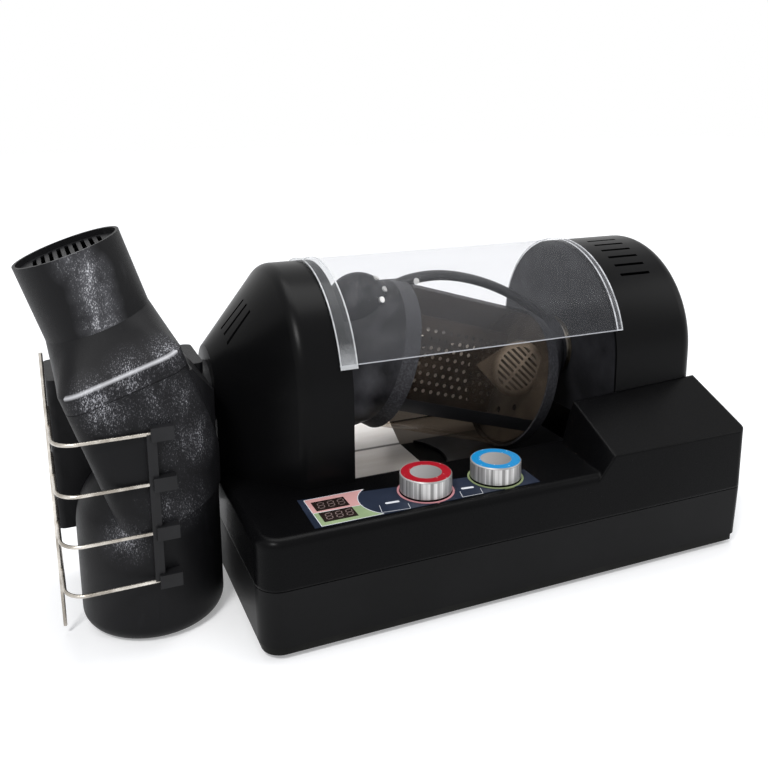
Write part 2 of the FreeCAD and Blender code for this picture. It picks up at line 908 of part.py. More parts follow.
def vent_tool():
    """The vent slots over the right housing, turned about its middle line."""
    slots = []
    for i in range(SIZES["vent_count"]):
        angle = z.vent_first_angle + z.vent_step_angle * i
        slot = box("vent_slot", (z.vent_start, -z.hood_radius - z.overrun, -z.vent_width / 2),
                   (z.vent_start + z.vent_length, -z.hood_radius + z.vent_cut_depth, z.vent_width / 2),
                   local)
        turned = group("vent_turned", slot)
        slots.append(stand(turned, (ZERO, z.hood_centre_y, z.hood_centre_z),
                           axis=FreeCAD.Vector(1, 0, 0), angle=-angle))
    return slots


def make_right_housing():
    """The right housing with its rounded end and vents, and the bulkhead that closes it."""
    outside = new_body("right_hood_outside")
    pad(outside, arch(outside, "right_hood_arch", z.right_hood_start, z.hood_radius,
                      z.hood_centre_z, z.deck_height - z.deck_round), body_length() - z.right_hood_start)
    soften(outside, at_right_end, z.right_hood_round)
    stand(outside, (ZERO, ZERO, ZERO))
    inside = new_body("right_hood_inside")
    start = z.right_hood_start - z.overrun
    pad(inside, arch(inside, "right_hood_inner_arch", start, z.hood_radius - z.sheet_wall,
                     z.hood_centre_z, z.deck_height - z.deck_round),
        body_length() - z.sheet_wall - start)
    stand(inside, (ZERO, ZERO, ZERO))
    soften(inside, lambda edge: edge.BoundBox.XLength < TINY < edge.BoundBox.ZLength
           and edge.BoundBox.Center.x > z.right_hood_start.value, z.right_hood_round - z.sheet_wall)
    node("right_housing", cut("right_housing", outside, inside, deck_solid("right_deck"),
                              sloped_box("right_slope"), trough_block("right_trough"),
                              *vent_tool()))
    panel = new_body("right_bulkhead_panel")
    pad(panel, arch(panel, "right_bulkhead_arch", z.right_hood_start, z.hood_radius - z.sheet_wall,
                    z.hood_centre_z, z.deck_height), z.bulkhead_thickness)
    stand(panel, (ZERO, ZERO, ZERO))
    bore = rod("right_bulkhead_bore", (z.right_hood_start - z.overrun, z.axis_y, z.axis_z),
               z.right_bearing_radius, z.bulkhead_thickness + z.overrun * 2, "x")
    bearing = pipe("right_bearing", (z.right_hood_start - z.free_gap, z.axis_y, z.axis_z),
                   z.hub_radius + z.running_gap, z.right_bearing_radius, z.bearing_length, "x")
    return cut("right_bulkhead", panel, bore), bearing


def make_housings():
    """Both housings, and the bulkheads and bearings between them and the bay."""
    left_panel, left_ring = make_left_housing()
    right_panel, right_ring = make_right_housing()
    node("bulkheads", group("bulkheads", left_panel, right_panel))
    node("chamber_bearings", group("chamber_bearings", left_ring, right_ring))


def make_bay_pieces():
    """The folded steel plate under the chamber and the black liner beside it."""
    thick = z.plate_thickness
    path = [(z.plate_front_y, z.bay_floor), (z.plate_fold_y, z.bay_floor),
            (z.plate_rise_y, z.plate_rise_z), (z.plate_end_y, z.plate_end_z),
            (z.plate_end_y - thick, z.plate_end_z), (z.plate_rise_y - thick, z.plate_rise_z + thick),
            (z.plate_fold_y, z.bay_floor + thick), (z.plate_front_y, z.bay_floor + thick)]
    node("chamber_floor_plate", prism("chamber_floor_plate", "YZ_Plane", path, z.plate_left,
                                      z.plate_right - z.plate_left))
    slab = box("liner_slab", (z.liner_left, z.plate_front_y, z.bay_floor),
               (z.liner_right, z.liner_back_y, z.bay_floor + z.liner_thickness))
    bite = rod("liner_bite", (z.liner_left - z.liner_curve / 2, z.axis_y, z.bay_floor - z.overrun),
               z.liner_curve, z.liner_thickness + z.overrun * 2)
    node("bay_liner", cut("bay_liner", slab, bite))


def along_tube(name, *shapes):
    """Pieces drawn about the middle of the glass tube, tilted with it."""
    tilted = group(name, *shapes)
    return stand(tilted, (z.tube_x, z.axis_y, z.tube_z), axis=FreeCAD.Vector(0, 1, 0), angle=z.tube_tilt)


def ring_solid(name, side):
    """An end ring of the tube as a solid, a little narrower at its outer end."""
    if side < 0:
        return cone(name, (-z.ring_half, ZERO, ZERO), z.ring_end_radius, z.ring_radius,
                    z.ring_width, "x", local)
    return cone(name, (z.ring_half - z.ring_width, ZERO, ZERO), z.ring_radius, z.ring_end_radius,
                z.ring_width, "x", local)


def tube_solid(name):
    """The tube with its rings as one solid, to trim the pieces that sit on it."""
    glass = rod(name + "_glass", (-z.glass_half, ZERO, ZERO), z.glass_radius, z.glass_half * 2,
                "x", local)
    return along_tube(name, fuse(name + "_whole", glass, ring_solid(name + "_left", -1),
                                 ring_solid(name + "_right", 1)))


def make_glass():
    """The glass tube, its two end rings and the dark band round its front."""
    inner = z.glass_radius - z.glass_wall
    glass = pipe("glass_bare", (-z.glass_half, ZERO, ZERO), inner, z.glass_radius,
                 z.glass_half * 2, "x", local)
    node("glass_tube", along_tube("glass_tube", glass))
    rings = []
    for side, name in ((-1, "left_ring"), (1, "right_ring")):
        start = z.ring_half * side if side < 0 else z.ring_half - z.ring_width
        whole = ring_solid(name + "_whole", side)
        seat = rod(name + "_seat", (-z.glass_half, ZERO, ZERO), z.glass_radius,
                   z.glass_half * 2, "x", local)
        bore = rod(name + "_bore", (start - z.overrun, ZERO, ZERO), inner - z.ring_lip,
                   z.ring_width + z.overrun * 2, "x", local)
        rings.append(cut(name + "_bare", whole, seat, bore))
    node("tube_rings", along_tube("tube_rings", *rings))
    band = pipe("band_bare", (-z.band_half, ZERO, ZERO), z.glass_radius,
                z.glass_radius + z.band_thickness, z.band_half * 2, "x", local)
    band.Base.Angle = SIZES["band_sweep"]
    bind(band.Base, "Angle", z.band_sweep)
    turned = group("band_turned", band)
    half_turn = Size(180.0, "180")
    stand(turned, (ZERO, ZERO, ZERO), local, axis=FreeCAD.Vector(1, 0, 0),
          angle=half_turn - z.band_start_angle - z.band_sweep)
    node("dark_band", along_tube("dark_band", turned))


def bell(name, inset, side):
    """A cap between a ring of the tube and a hub on the turning axis, as a solid."""
    square = Size(90.0, "90")
    hub_x = z.left_hub_x if side < 0 else z.right_hub_x
    hub_radius = z.left_hub_radius if side < 0 else z.right_hub_radius
    reach = z.ring_half * side
    edge = ring_line(name + "_edge", (z.tube_x + reach * cosine(z.tube_tilt), z.axis_y,
                                      z.tube_z - reach * sine(z.tube_tilt)),
                     z.ring_end_radius - inset, square + z.tube_tilt)
    hub = ring_line(name + "_hub", (hub_x, z.axis_y, z.axis_z), hub_radius - inset, square)
    return loft(name, edge, hub) if side < 0 else loft(name, hub, edge)


def lobe(name, inset):
    """The rounded lobe on the left cap that holds the end of the handle."""
    ball = doc.addObject("Part::Ellipsoid", name)
    bind(ball, "Radius1", z.lobe_height - inset)
    bind(ball, "Radius2", z.lobe_length - inset)
    bind(ball, "Radius3", z.lobe_width - inset)
    return stand(ball, (z.lobe_x, z.axis_y, z.lobe_z))


def make_left_cap():
    """The left cap: a bell with a lobe on top and a hollow stub in the left bearing."""
    outside = fuse("left_cap_outside", bell("left_bell", ZERO, -1), lobe("lobe_outside", ZERO))
    face = rod("left_hub_face", (z.left_hub_x - z.left_hub_face, z.axis_y, z.axis_z),
               z.left_hub_radius, z.left_hub_face, "x")
    stub = rod("left_stub", (z.stub_start, z.axis_y, z.axis_z), z.stub_radius,
               z.left_hub_x - z.stub_start, "x")
    inside = fuse("left_cap_inside", bell("left_bell_inside", z.cap_wall, -1),
                  lobe("lobe_inside", z.cap_wall))
    bore = rod("left_stub_bore", (z.stub_start - z.overrun, z.axis_y, z.axis_z),
               z.stub_radius - z.stub_wall, z.left_hub_x + z.overrun * 2 - z.stub_start, "x")
    whole = fuse("left_cap_whole", outside, face, stub)
    beyond = along_tube("left_cap_beyond", rod("left_cap_beyond_bare", (-z.ring_half, ZERO, ZERO),
                                               z.ring_half * 2, z.ring_half * 2, "x", local))
    node("left_cap", cut("left_cap", whole, fuse("left_cap_hollow", inside, bore), beyond))


def make_right_cap():
    """The right cap: an oblique cone from the right ring to the drive hub."""
    face = rod("right_hub_face", (z.right_hub_x, z.axis_y, z.axis_z), z.right_hub_radius,
               z.right_hub_face, "x")
    bore = rod("right_hub_bore", (z.right_hub_x - z.overrun, z.axis_y, z.axis_z),
               z.hub_radius, z.right_hub_face + z.overrun * 2, "x")
    whole = fuse("right_cap_whole", bell("right_bell", ZERO, 1), face)
    node("right_cap", cut("right_cap", whole, bell("right_bell_inside", z.cap_wall, 1), bore))


def make_handle():
    """The arched handle from the lobe over the glass to the right cap."""
    ovals = []
    for i in range(1, SIZES["bend_count"] + 1):
        x, up = getattr(z, "bend_%d_x" % i), getattr(z, "bend_%d_up" % i)
        ovals.append(oval_line("handle_oval", (x, z.axis_y, up), z.handle_width, z.handle_thickness,
                               SIZES["bend_%d_angle" % i]))
    arc = loft("handle_arc", *ovals)
    arc.Ruled = False
    off_caps = cut("handle_off_caps", arc, fuse("handle_left_seat", bell("handle_left_bell", ZERO, -1),
                                                lobe("handle_lobe", ZERO)))
    off_right = cut("handle_off_right", off_caps, bell("handle_right_bell", ZERO, 1))
    node("chamber_handle", cut("chamber_handle", off_right, tube_solid("handle_tube")))


def screw_head(name, place, out):
    """One low screw head at a place, standing along a direction."""
    head = rod(name, place, z.chamber_screw_radius, z.chamber_screw_height)
    turn = FreeCAD.Rotation(FreeCAD.Vector(0, 0, 1), out)
    head.Placement = FreeCAD.Placement(head.Placement.Base, turn)
    return head


def make_chamber_screws():
    """The screws on the lobe and beside the handle's foot, square to the surface."""
    heads = []
    for i in range(1, SIZES["lobe_screw_count"] + 1):
        x, y, up = [getattr(z, "lobe_screw_%d_%s" % (i, way)) for way in ("x", "y", "up")]
        out = FreeCAD.Vector((x - z.lobe_x).value / z.lobe_length.value ** 2,
                             (y - z.axis_y).value / z.lobe_width.value ** 2,
                             (up - z.lobe_z).value / z.lobe_height.value ** 2)
        heads.append(screw_head("lobe_screw", (x, y, up), out))
    heads.append(screw_head("handle_screw", (z.handle_screw_x, z.handle_screw_y, z.handle_screw_up),
                            FreeCAD.Vector(0, -1, 0)))
    seat = fuse("screw_seat", bell("screw_bell", ZERO, -1), lobe("screw_lobe", ZERO))
    off_cap = cut("screws_off_cap", group("chamber_screw_heads", *heads), seat)
    off_tube = cut("screws_off_tube", off_cap, tube_solid("screw_tube"))
    node("chamber_screws", cut("chamber_screws", off_tube, NODES["chamber_handle"]))


def make_baffle():
    """The perforated sheet that turns the beans over, its holes in staggered rows."""
    half = z.baffle_thickness / 2
    sheet = box("baffle_sheet", (z.baffle_left, -half, -z.baffle_half_height),
                (z.baffle_right, half, z.baffle_half_height), local)
    holes = []
    for k in range(SIZES["hole_rows"]):
        up = z.hole_pitch * (k - (SIZES["hole_rows"] - 1) / 2)
        first = z.baffle_left + z.hole_pitch + z.hole_pitch / 2 * (k % 2)
        for i in range(SIZES["hole_columns"]):
            hole = doc.addObject("Part::Prism", "baffle_hole")
            hole.Polygon = 6
            bind(hole, "Circumradius", z.hole_radius)
            bind(hole, "Height", z.overrun * 2)
            holes.append(stand(hole, (first + z.hole_pitch * i, -z.overrun, up), local, turn="y"))
    node("mixing_baffle", along_tube("mixing_baffle", cut("baffle_bare", sheet, *holes)))


def make_grille():
    """The pointed plate before the baffle with slots in its round part."""
    thick, deep = z.baffle_thickness, z.grille_depth
    wedge = prism("grille_wedge", "XZ_Plane",
                  [(z.grille_corner_x, z.grille_corner_up), (z.grille_high_x, z.grille_high_up),
                   (z.grille_x, z.grille_up), (z.grille_low_x, z.grille_low_up)],
                  deep - thick / 2, thick, local)
    disc = rod("grille_disc", (z.grille_x, -deep - thick / 2, z.grille_up), z.grille_plate_radius,
               thick, "y", local)
    slots = []
    for k in range(SIZES["grille_slots"]):
        side = z.grille_slot_pitch * (k - (SIZES["grille_slots"] - 1) / 2)
        slots.append(box("grille_slot", (-z.grille_radius, -z.overrun, side - z.grille_slot_width / 2),
                         (z.grille_radius, z.overrun, side + z.grille_slot_width / 2), local))
    bounds = rod("grille_round", (ZERO, -z.overrun, ZERO), z.grille_radius, z.overrun * 2, "y", local)
    bar = box("grille_bar", (-z.grille_bar_width / 2, -z.overrun, -z.grille_radius),
              (z.grille_bar_width / 2, z.overrun, z.grille_radius), local)
    tool = cut("grille_tool", shared("grille_slots_round", bounds, group("grille_slot_row", *slots)), bar)
    turned = stand(group("grille_turned", tool), (z.grille_x, -deep, z.grille_up), local,
                   axis=FreeCAD.Vector(0, 1, 0), angle=z.grille_slot_angle)
    beyond = box("grille_beyond", (z.right_disc_place, -deep - z.overrun, z.grille_up - z.grille_radius * 2),
                 (z.right_disc_place + z.grille_radius * 2, z.overrun - deep,
                  z.grille_up + z.grille_radius * 2), local)
    plate = cut("grille_flat", fuse("grille_whole", wedge, disc), turned, beyond)
    node("grille_plate", along_tube("grille_plate", plate))


def make_screens():
    """The two perforated discs at the ends of the tube."""
    screens = []
    for name, place in (("outlet_screen", z.baffle_left - z.screen_thickness),
                        ("inlet_screen", z.right_disc_place)):
        disc = rod(name + "_disc", (place, ZERO, ZERO), z.screen_radius, z.screen_thickness, "x", local)
        screens.append(cut(name, disc, *ring_of_holes(name, place)))
    node("end_screens", along_tube("end_screens", *screens))


def ring_of_holes(name, place):
    """Holes on a circle round the middle of a screen."""
    holes = []
    step = 360.0 / SIZES["screen_hole_count"]
    for i in range(SIZES["screen_hole_count"]):
        angle = Size(step * i, repr(step * i))
        holes.append(rod(name + "_hole", (place - z.overrun, z.screen_circle * cosine(angle),
                                          z.screen_circle * sine(angle)),
                         z.screen_hole_radius, z.screen_thickness + z.overrun * 2, "x", local))
    return holes


def toothed_wheel(name, radius, teeth, shift_share, bore):
    """A gear with straight-sided teeth, drawn about its own middle and facing along Z."""
    body = new_body(name)
    root = radius - z.tooth_root
    ring = flat_sketch(body, name + "_ring", "XY_Plane", ZERO)
    ring.addGeometry(Part.Circle(FreeCAD.Vector(), FreeCAD.Vector(0, 0, 1), root.value))
    ring.addConstraint(Sketcher.Constraint("Coincident", 0, 3, -1, 1))
    rule = Sketcher.Constraint("Radius", 0, root.value)
    bind(ring, "Constraints[%d]" % ring.addConstraint(rule), root)
    pad(body, ring, z.gear_width)
    deep = root - z.tooth_root / 2
    points = [(deep, -z.tooth_root_half), (root, -z.tooth_root_half),
              (radius + z.tooth_tip, -z.tooth_tip_half), (radius + z.tooth_tip, z.tooth_tip_half),
              (root, z.tooth_root_half), (deep, z.tooth_root_half)]
    tooth = pad(body, outline(body, name + "_tooth", "XY_Plane", ZERO, points), z.gear_width)
    doc.recompute()
    pattern = body.newObject("PartDesign::PolarPattern", name + "_teeth")
    pattern.Originals = [tooth]
    pattern.Axis = ([part for part in body.Origin.OriginFeatures if part.Role == "Z_Axis"][0], [""])
    pattern.Angle = 360.0
    pattern.Occurrences = teeth
    body.Tip = pattern
    doc.recompute()
    hole = rod(name + "_bore", (ZERO, ZERO, -z.overrun), bore, z.gear_width + z.overrun * 2, "z", local)
    turned = group(name + "_turned", cut(name + "_bored", body, hole))
    step = 360.0 / teeth * shift_share
    angle = Size(step, repr(step))
    return stand(turned, (ZERO, ZERO, ZERO), local, axis=FreeCAD.Vector(0, 0, 1), angle=angle)


def facing_x(name, shape, place):
    """Stands a piece drawn along Z so that it faces along X."""
    return stand(group(name, shape), place, turn="x")


def make_drive():
    """The hollow drive hub with its gear, and the motor with its pinion and posts."""
    reach = z.gear_radius + z.pinion_radius
    node("drive_hub", pipe("drive_hub", (z.right_hub_x, z.axis_y, z.axis_z), z.hub_radius - z.hub_wall,
                           z.hub_radius, z.hub_end - z.right_hub_x, "x"))
    gear = toothed_wheel("gear", z.gear_radius, SIZES["gear_teeth"], 0, z.hub_radius)
    node("drive_gear", facing_x("drive_gear", gear, (z.gear_x, z.axis_y, z.axis_z)))
    pinion = toothed_wheel("pinion", z.pinion_radius, SIZES["pinion_teeth"], 0.5, z.motor_shaft_radius)
    turned = facing_x("motor_pinion_wheel", pinion, (z.gear_x, z.axis_y + reach, z.axis_z))
    shaft = rod("motor_shaft", (z.gear_x, z.axis_y + reach, z.axis_z), z.motor_shaft_radius,
                z.motor_start - z.gear_x - z.free_gap, "x")
    node("motor_pinion", fuse("motor_pinion", turned, shaft))
    can = rod("motor_can", (z.motor_start, z.axis_y + reach, z.axis_z), z.motor_radius,
              z.motor_length, "x")
    posts = [rod("motor_post", (z.right_hood_start + z.bulkhead_thickness, z.axis_y + reach,
                                z.axis_z + z.post_spread * side), z.post_radius,
                 z.motor_start - z.right_hood_start - z.bulkhead_thickness, "x") for side in (-1, 1)]
    node("drive_motor", fuse("drive_motor", can, *posts))


def make_heater():
    """The heater tube with its core and coils, and the duct that feeds it."""
    inner = z.heater_radius - z.heater_wall
    whole = rod("heater_whole", (z.heater_start, z.axis_y, z.axis_z), z.heater_radius,
                z.heater_end - z.heater_start, "x")
    bore = rod("heater_bore", (z.heater_start - z.overrun, z.axis_y, z.axis_z), inner,
               z.heater_end - z.heater_start - z.heater_wall + z.overrun, "x")
    inlet = rod("heater_inlet", (z.duct_x, z.duct_y, z.deck_height), z.duct_radius - z.duct_wall,
                z.axis_z - z.deck_height)
    node("heater_tube", cut("heater_tube", whole, bore, inlet))
    duct_outer = rod("duct_outer", (z.duct_x, z.duct_y, z.blower_top), z.duct_radius,
                     z.axis_z - z.blower_top)
    duct_inner = rod("duct_inner", (z.duct_x, z.duct_y, z.blower_top - z.overrun),
                     z.duct_radius - z.duct_wall, z.axis_z - z.blower_top + z.overrun * 2)
    around = rod("duct_trim", (z.heater_start, z.axis_y, z.axis_z), z.heater_radius,
                 z.heater_end - z.heater_start + z.duct_radius, "x")
    node("hot_air_duct", cut("hot_air_duct", duct_outer, duct_inner, around))
    half = z.core_thickness / 2
    upright_fin = box("core_upright", (z.core_start, z.axis_y - half, z.axis_z - inner),
                      (z.core_start + z.core_length, z.axis_y + half, z.axis_z + inner))
    flat_fin = box("core_flat", (z.core_start, z.axis_y - inner, z.axis_z - half),
                   (z.core_start + z.core_length, z.axis_y + inner, z.axis_z + half))
    fins = shared("core_round", fuse("core_fins", upright_fin, flat_fin),
                  rod("core_bounds", (z.core_start, z.axis_y, z.axis_z), inner, z.core_length, "x"))
    rings = []
    for i in range(SIZES["coil_count"]):
        place = (z.core_start + z.coil_pitch * (i + 0.5) - z.coil_wire, z.axis_y, z.axis_z)
        rings.append(pipe("coil_ribbon", place, z.coil_radius - z.coil_wire,
                          z.coil_radius + z.coil_wire, z.coil_wire * 2, "x"))
    coils = group("coil_rings", *rings)
    node("heater_core", fins)
    node("heater_coil", cut("heater_coil", coils, fins))


def make_blower():
    """The blower housing in the base, its impeller and its motor."""
    place = (z.blower_x, z.blower_y, z.blower_bottom)
    height = z.blower_top - z.blower_bottom
    whole = rod("blower_whole", place, z.blower_radius, height)
    hollow = rod("blower_hollow", (z.blower_x, z.blower_y, z.blower_bottom + z.blower_wall),
                 z.blower_radius - z.blower_wall, height - z.blower_wall * 2)
    eye = rod("blower_eye_hole", (z.blower_x, z.blower_y, z.blower_bottom - z.overrun), z.blower_eye,
              z.blower_wall + z.overrun * 2)
    outlet = rod("blower_outlet", (z.duct_x, z.duct_y, z.blower_top - z.blower_wall - z.overrun),
                 z.duct_radius - z.duct_wall, z.blower_wall + z.overrun * 2)
    shaft_hole = rod("blower_shaft_hole", (z.blower_x, z.blower_y, z.blower_top - z.blower_wall
                                           - z.overrun),
                     z.fan_shaft_radius + z.free_gap, z.blower_wall + z.overrun * 2)
    node("blower_housing", cut("blower_housing", whole, hollow, eye, outlet, shaft_hole))
    node("fan_impeller", impeller())
    motor = rod("fan_motor_can", (z.blower_x, z.blower_y, z.blower_top), z.fan_motor_radius,
                z.fan_motor_height)
    well = rod("fan_motor_well", (z.blower_x, z.blower_y, z.blower_top - z.overrun),
               z.fan_shaft_radius + z.running_gap, z.fan_motor_height / 2 + z.overrun)
    node("fan_motor", cut("fan_motor", motor, well))


def impeller():
    """The impeller: a disc with straight blades round a hub and its shaft."""
    low = z.impeller_bottom
    top_disc = rod("impeller_disc", (z.blower_x, z.blower_y, low + z.impeller_height - z.impeller_disc),
                   z.impeller_radius, z.impeller_disc)
    hub = rod("impeller_hub", (z.blower_x, z.blower_y, low), z.impeller_hub, z.impeller_height)
    start = low + z.impeller_height / 2
    shaft = rod("impeller_shaft", (z.blower_x, z.blower_y, start), z.fan_shaft_radius,
                z.blower_top + z.fan_motor_height / 2 - z.free_gap - start)
    blades = []
    for i in range(SIZES["impeller_blades"]):
        angle = Size(360.0 / SIZES["impeller_blades"] * i, repr(360.0 / SIZES["impeller_blades"] * i))
        blade = box("impeller_blade", (z.blower_eye, -z.blade_thickness / 2, ZERO),
                    (z.impeller_radius, z.blade_thickness / 2, z.impeller_height - z.impeller_disc), local)
        blades.append(stand(group("impeller_blade_turned", blade), (z.blower_x, z.blower_y, low),
                            axis=FreeCAD.Vector(0, 0, 1), angle=angle))
    return fuse("fan_impeller", top_disc, hub, shaft, *blades)


def outlet_start():
    """Where the outlet duct meets the left bearing."""
    return z.left_hood_end - z.bearing_length + z.free_gap


def make_outlet():
    """The duct in the left housing that takes the smoke and chaff to the collector."""
    wall = z.sheet_wall
    funnel_length = outlet_start() - z.outlet_cone_end
    parts = []
    for name, inset in (("outlet_outside", ZERO), ("outlet_inside", wall)):
        more = z.overrun if inset is wall else ZERO
        funnel = cone(name + "_funnel", (z.outlet_cone_end, z.axis_y, z.axis_z), z.spout_radius - inset,
                      z.outlet_radius - inset + (wall if inset is ZERO else wall / 2), funnel_length, "x")
        spout = rod(name + "_spout", (z.spout_end - more, z.axis_y, z.axis_z), z.spout_radius - inset,
                    z.outlet_cone_end - z.spout_end + more, "x")
        mouth = rod(name + "_mouth", (outlet_start() - z.overrun, z.axis_y, z.axis_z),
                    z.outlet_radius - inset, z.overrun + more, "x")
        parts.append(fuse(name, funnel, spout, mouth))
    node("outlet_duct", cut("outlet_duct", parts[0], parts[1]))


def arc_strip(name, inner, outer, start, length, sweep):
    """A curved strip over the chamber, from the rear up and over to the front."""
    middle = (start, z.hood_centre_y, z.hood_centre_z)
    whole = rod(name + "_outside", middle, outer, length, "x")
    bind(whole, "Angle", sweep)
    bore = rod(name + "_inside", (start - z.overrun, z.hood_centre_y, z.hood_centre_z), inner,
               length + z.overrun * 2, "x")
    return cut(name, whole, bore)


def make_cover():
    """The clear cover with its rims, and the hinge behind it."""
    node("cover_shell", arc_strip("cover_shell", z.cover_inner, z.cover_outer, z.cover_left,
                                  z.cover_right - z.cover_left, z.cover_sweep))
    node("cover_rim_left", arc_strip("cover_rim_left", z.cover_outer, z.rim_outer, z.cover_left,
                                     z.left_rim_width, z.rim_sweep))
    node("cover_rim_right", arc_strip("cover_rim_right", z.cover_outer, z.rim_outer,
                                      z.cover_right - z.right_rim_width, z.right_rim_width,
                                      z.cover_sweep))
    knuckles, brackets, pins = [], [], []
    for start in (z.hinge_first_x, z.hinge_second_x):
        knuckles.append(hinge_knuckle(start))
        brackets.extend(hinge_bracket(start))
        pins.append(rod("hinge_pin", (start - z.bracket_width, z.hinge_y, z.hinge_z), z.pin_radius,
                        z.knuckle_length + z.bracket_width * 2, "x"))
    node("cover_knuckles", group("cover_knuckles", *knuckles))
    node("hinge_brackets", fuse("hinge_brackets", *(brackets + pins)))


def hinge_knuckle(start):
    """One knuckle of the cover with the arm that reaches up to it."""
    gap = z.free_gap
    low, length = start + gap, z.knuckle_length - gap * 2
    barrel = rod("knuckle_barrel", (low, z.hinge_y, z.hinge_z), z.knuckle_radius, length, "x")
    arm = box("knuckle_arm", (low, z.hinge_y, z.hinge_z),
              (low + length, z.hinge_y + z.knuckle_radius, z.hinge_z + z.arm_rise))
    over = arc_strip("knuckle_cover", z.cover_inner, z.rim_outer, low - z.overrun,
                     length + z.overrun * 2, z.cover_sweep)
    bore = rod("knuckle_bore", (low - z.overrun, z.hinge_y, z.hinge_z), z.pin_radius + z.running_gap,
               length + z.overrun * 2, "x")
    arm_trimmed = cut("knuckle_arm_trimmed", arm, over)
    return cut("cover_knuckle", fuse("knuckle_whole", barrel, arm_trimmed), bore)


def hinge_bracket(start):
    """The two bearers of one hinge on top of the rear wall."""
    bearers = []
    for low in (start - z.bracket_width, start + z.knuckle_length):
        block = box("bracket_block", (low, z.bay_back, z.rear_wall_top),
                    (low + z.bracket_width, z.bay_back + z.rear_wall_thickness, z.hinge_z))
        barrel = rod("bracket_barrel", (low, z.hinge_y, z.hinge_z), z.knuckle_radius,
                     z.bracket_width, "x")
        bearers.extend((block, barrel))
    return bearers


def make_knob(side, x):
    """One knob: metal body, coloured ring, shaft, and the mark and encoder that stay still."""
    base = z.deck_height + z.knob_lift
    body = new_body("knob_%s_turned" % side)
    wall = z.knob_wall
    top = z.knob_height
    profile = [(z.knob_radius - wall, top - wall * 2), (z.knob_radius - wall, ZERO),
               (z.knob_radius, ZERO), (z.knob_radius, top - z.knob_round),
               (z.knob_radius - z.knob_round, top), (z.knob_ring_radius, top),
               (z.knob_ring_radius, top - z.knob_top_step),
               (z.knob_disc_radius, top - z.knob_top_step), (z.knob_disc_radius, top),
               (ZERO, top), (ZERO, top - wall * 2)]
    sketch = outline(body, "knob_%s_profile" % side, "XZ_Plane", ZERO, profile)
    feature = body.newObject("PartDesign::Revolution", "knob_%s_revolution" % side)
    feature.Profile = sketch
    feature.ReferenceAxis = (sketch, ["V_Axis"])
    feature.Angle = 360.0
    doc.recompute()
    node("knob_" + side, stand(body, (x, z.knob_y, base)))
    seat = base + top - z.knob_top_step
    node("knob_ring_" + side, pipe("knob_ring_" + side, (x, z.knob_y, seat), z.knob_disc_radius,
                                   z.knob_ring_radius, z.knob_top_step))
    mark = pipe("knob_mark_" + side, (x, z.knob_y, z.deck_height), z.mark_inner, z.mark_outer,
                z.mark_height)
    shaft_top = base + top - wall * 2
    node("knob_shaft_" + side, rod("knob_shaft_" + side, (x, z.knob_y, z.shaft_bottom),
                                   z.shaft_radius, shaft_top - z.shaft_bottom))
    low = z.board_bottom + z.board_thickness
    can = box("encoder_can_" + side, (x - z.encoder_half, z.knob_y - z.encoder_half, low),
              (x + z.encoder_half, z.knob_y + z.encoder_half, low + z.encoder_height))
    well = rod("encoder_well_" + side, (x, z.knob_y, z.shaft_bottom - z.knob_lift),
               z.shaft_radius + z.running_gap, z.encoder_height)
    return mark, cut("encoder_" + side, can, well)


def make_knobs():
    """Both knobs with the marks printed round them and the encoders under them."""
    left_mark, left_can = make_knob("left", z.knob_left_x)
    right_mark, right_can = make_knob("right", z.knob_right_x)
    node("knob_marks", group("knob_marks", left_mark, right_mark))
    node("encoders", group("encoders", left_can, right_can))


def make_panel():
    """The control label, its two windows, the board under the deck and its posts."""
    corners = [(z.label_near_left_x, z.label_near_left_y), (z.label_near_right_x, z.label_near_right_y),
               (z.label_far_right_x, z.label_far_right_y), (z.label_far_left_x, z.label_far_left_y)]
    sheet = prism("label_sheet", "XY_Plane", corners, z.deck_height, z.label_thickness)
    holes = [rod("label_hole", (x, z.knob_y, z.deck_height - z.overrun), z.mark_outer,
                 z.overrun * 3) for x in (z.knob_left_x, z.knob_right_x)]
    places = [("window_lower", z.window_low_y), ("window_upper", z.window_high_y)]
    windows = []
    for name, y in places:
        low = (z.window_left, y, z.deck_height)
        high = (z.window_left + z.window_width, y + z.window_depth,
                z.deck_height + z.label_thickness + z.window_rise)
        windows.append(box(name, low, high))
        holes.append(box(name + "_hole", low, high))
    node("display_windows", group("display_windows", *windows))
    node("control_label", cut("control_label", sheet, *holes))
    board = box("board_sheet", (z.board_left, z.board_front, z.board_bottom),
                (z.board_right, z.board_back, z.board_bottom + z.board_thickness))
    inset = z.board_post_radius * 2
    posts = []
    for x in (z.board_left + inset, z.board_right - inset):
        for y in (z.board_front + inset, z.board_back - inset):
            top = z.board_bottom + z.board_thickness
            posts.append(rod("board_post", (x, y, top), z.board_post_radius,
                             z.deck_height - z.sheet_wall - top))
    node("circuit_board", fuse("circuit_board", board, *posts))
    node("cord_gland", rod("cord_gland", (z.gland_x, body_depth() - z.gland_length + z.overrun,
                                          z.gland_z), z.gland_radius, z.gland_length, "y"))


def lean_group(name, *shapes):
    """Pieces drawn about the joint of the collector, leaning with its neck."""
    leaned = group(name, *shapes)
    return stand(leaned, (z.joint_x, z.cup_y, z.joint_z), axis=FreeCAD.Vector(0, 1, 0), angle=-z.lean)


def leaning_block(name, inset, low, high):
    """The rounded leaning duct of the collector between two heights along its lean."""
    body = new_body(name)
    wide, deep = z.joint_half - inset, z.joint_depth_half - inset
    corners = rectangle(-wide, wide, -deep, deep)
    pad(body, outline(body, name + "_outline", "XY_Plane", low, corners), high - low)
    soften(body, upright, z.joint_round - inset)
    return stand(body, (ZERO, ZERO, ZERO), local)


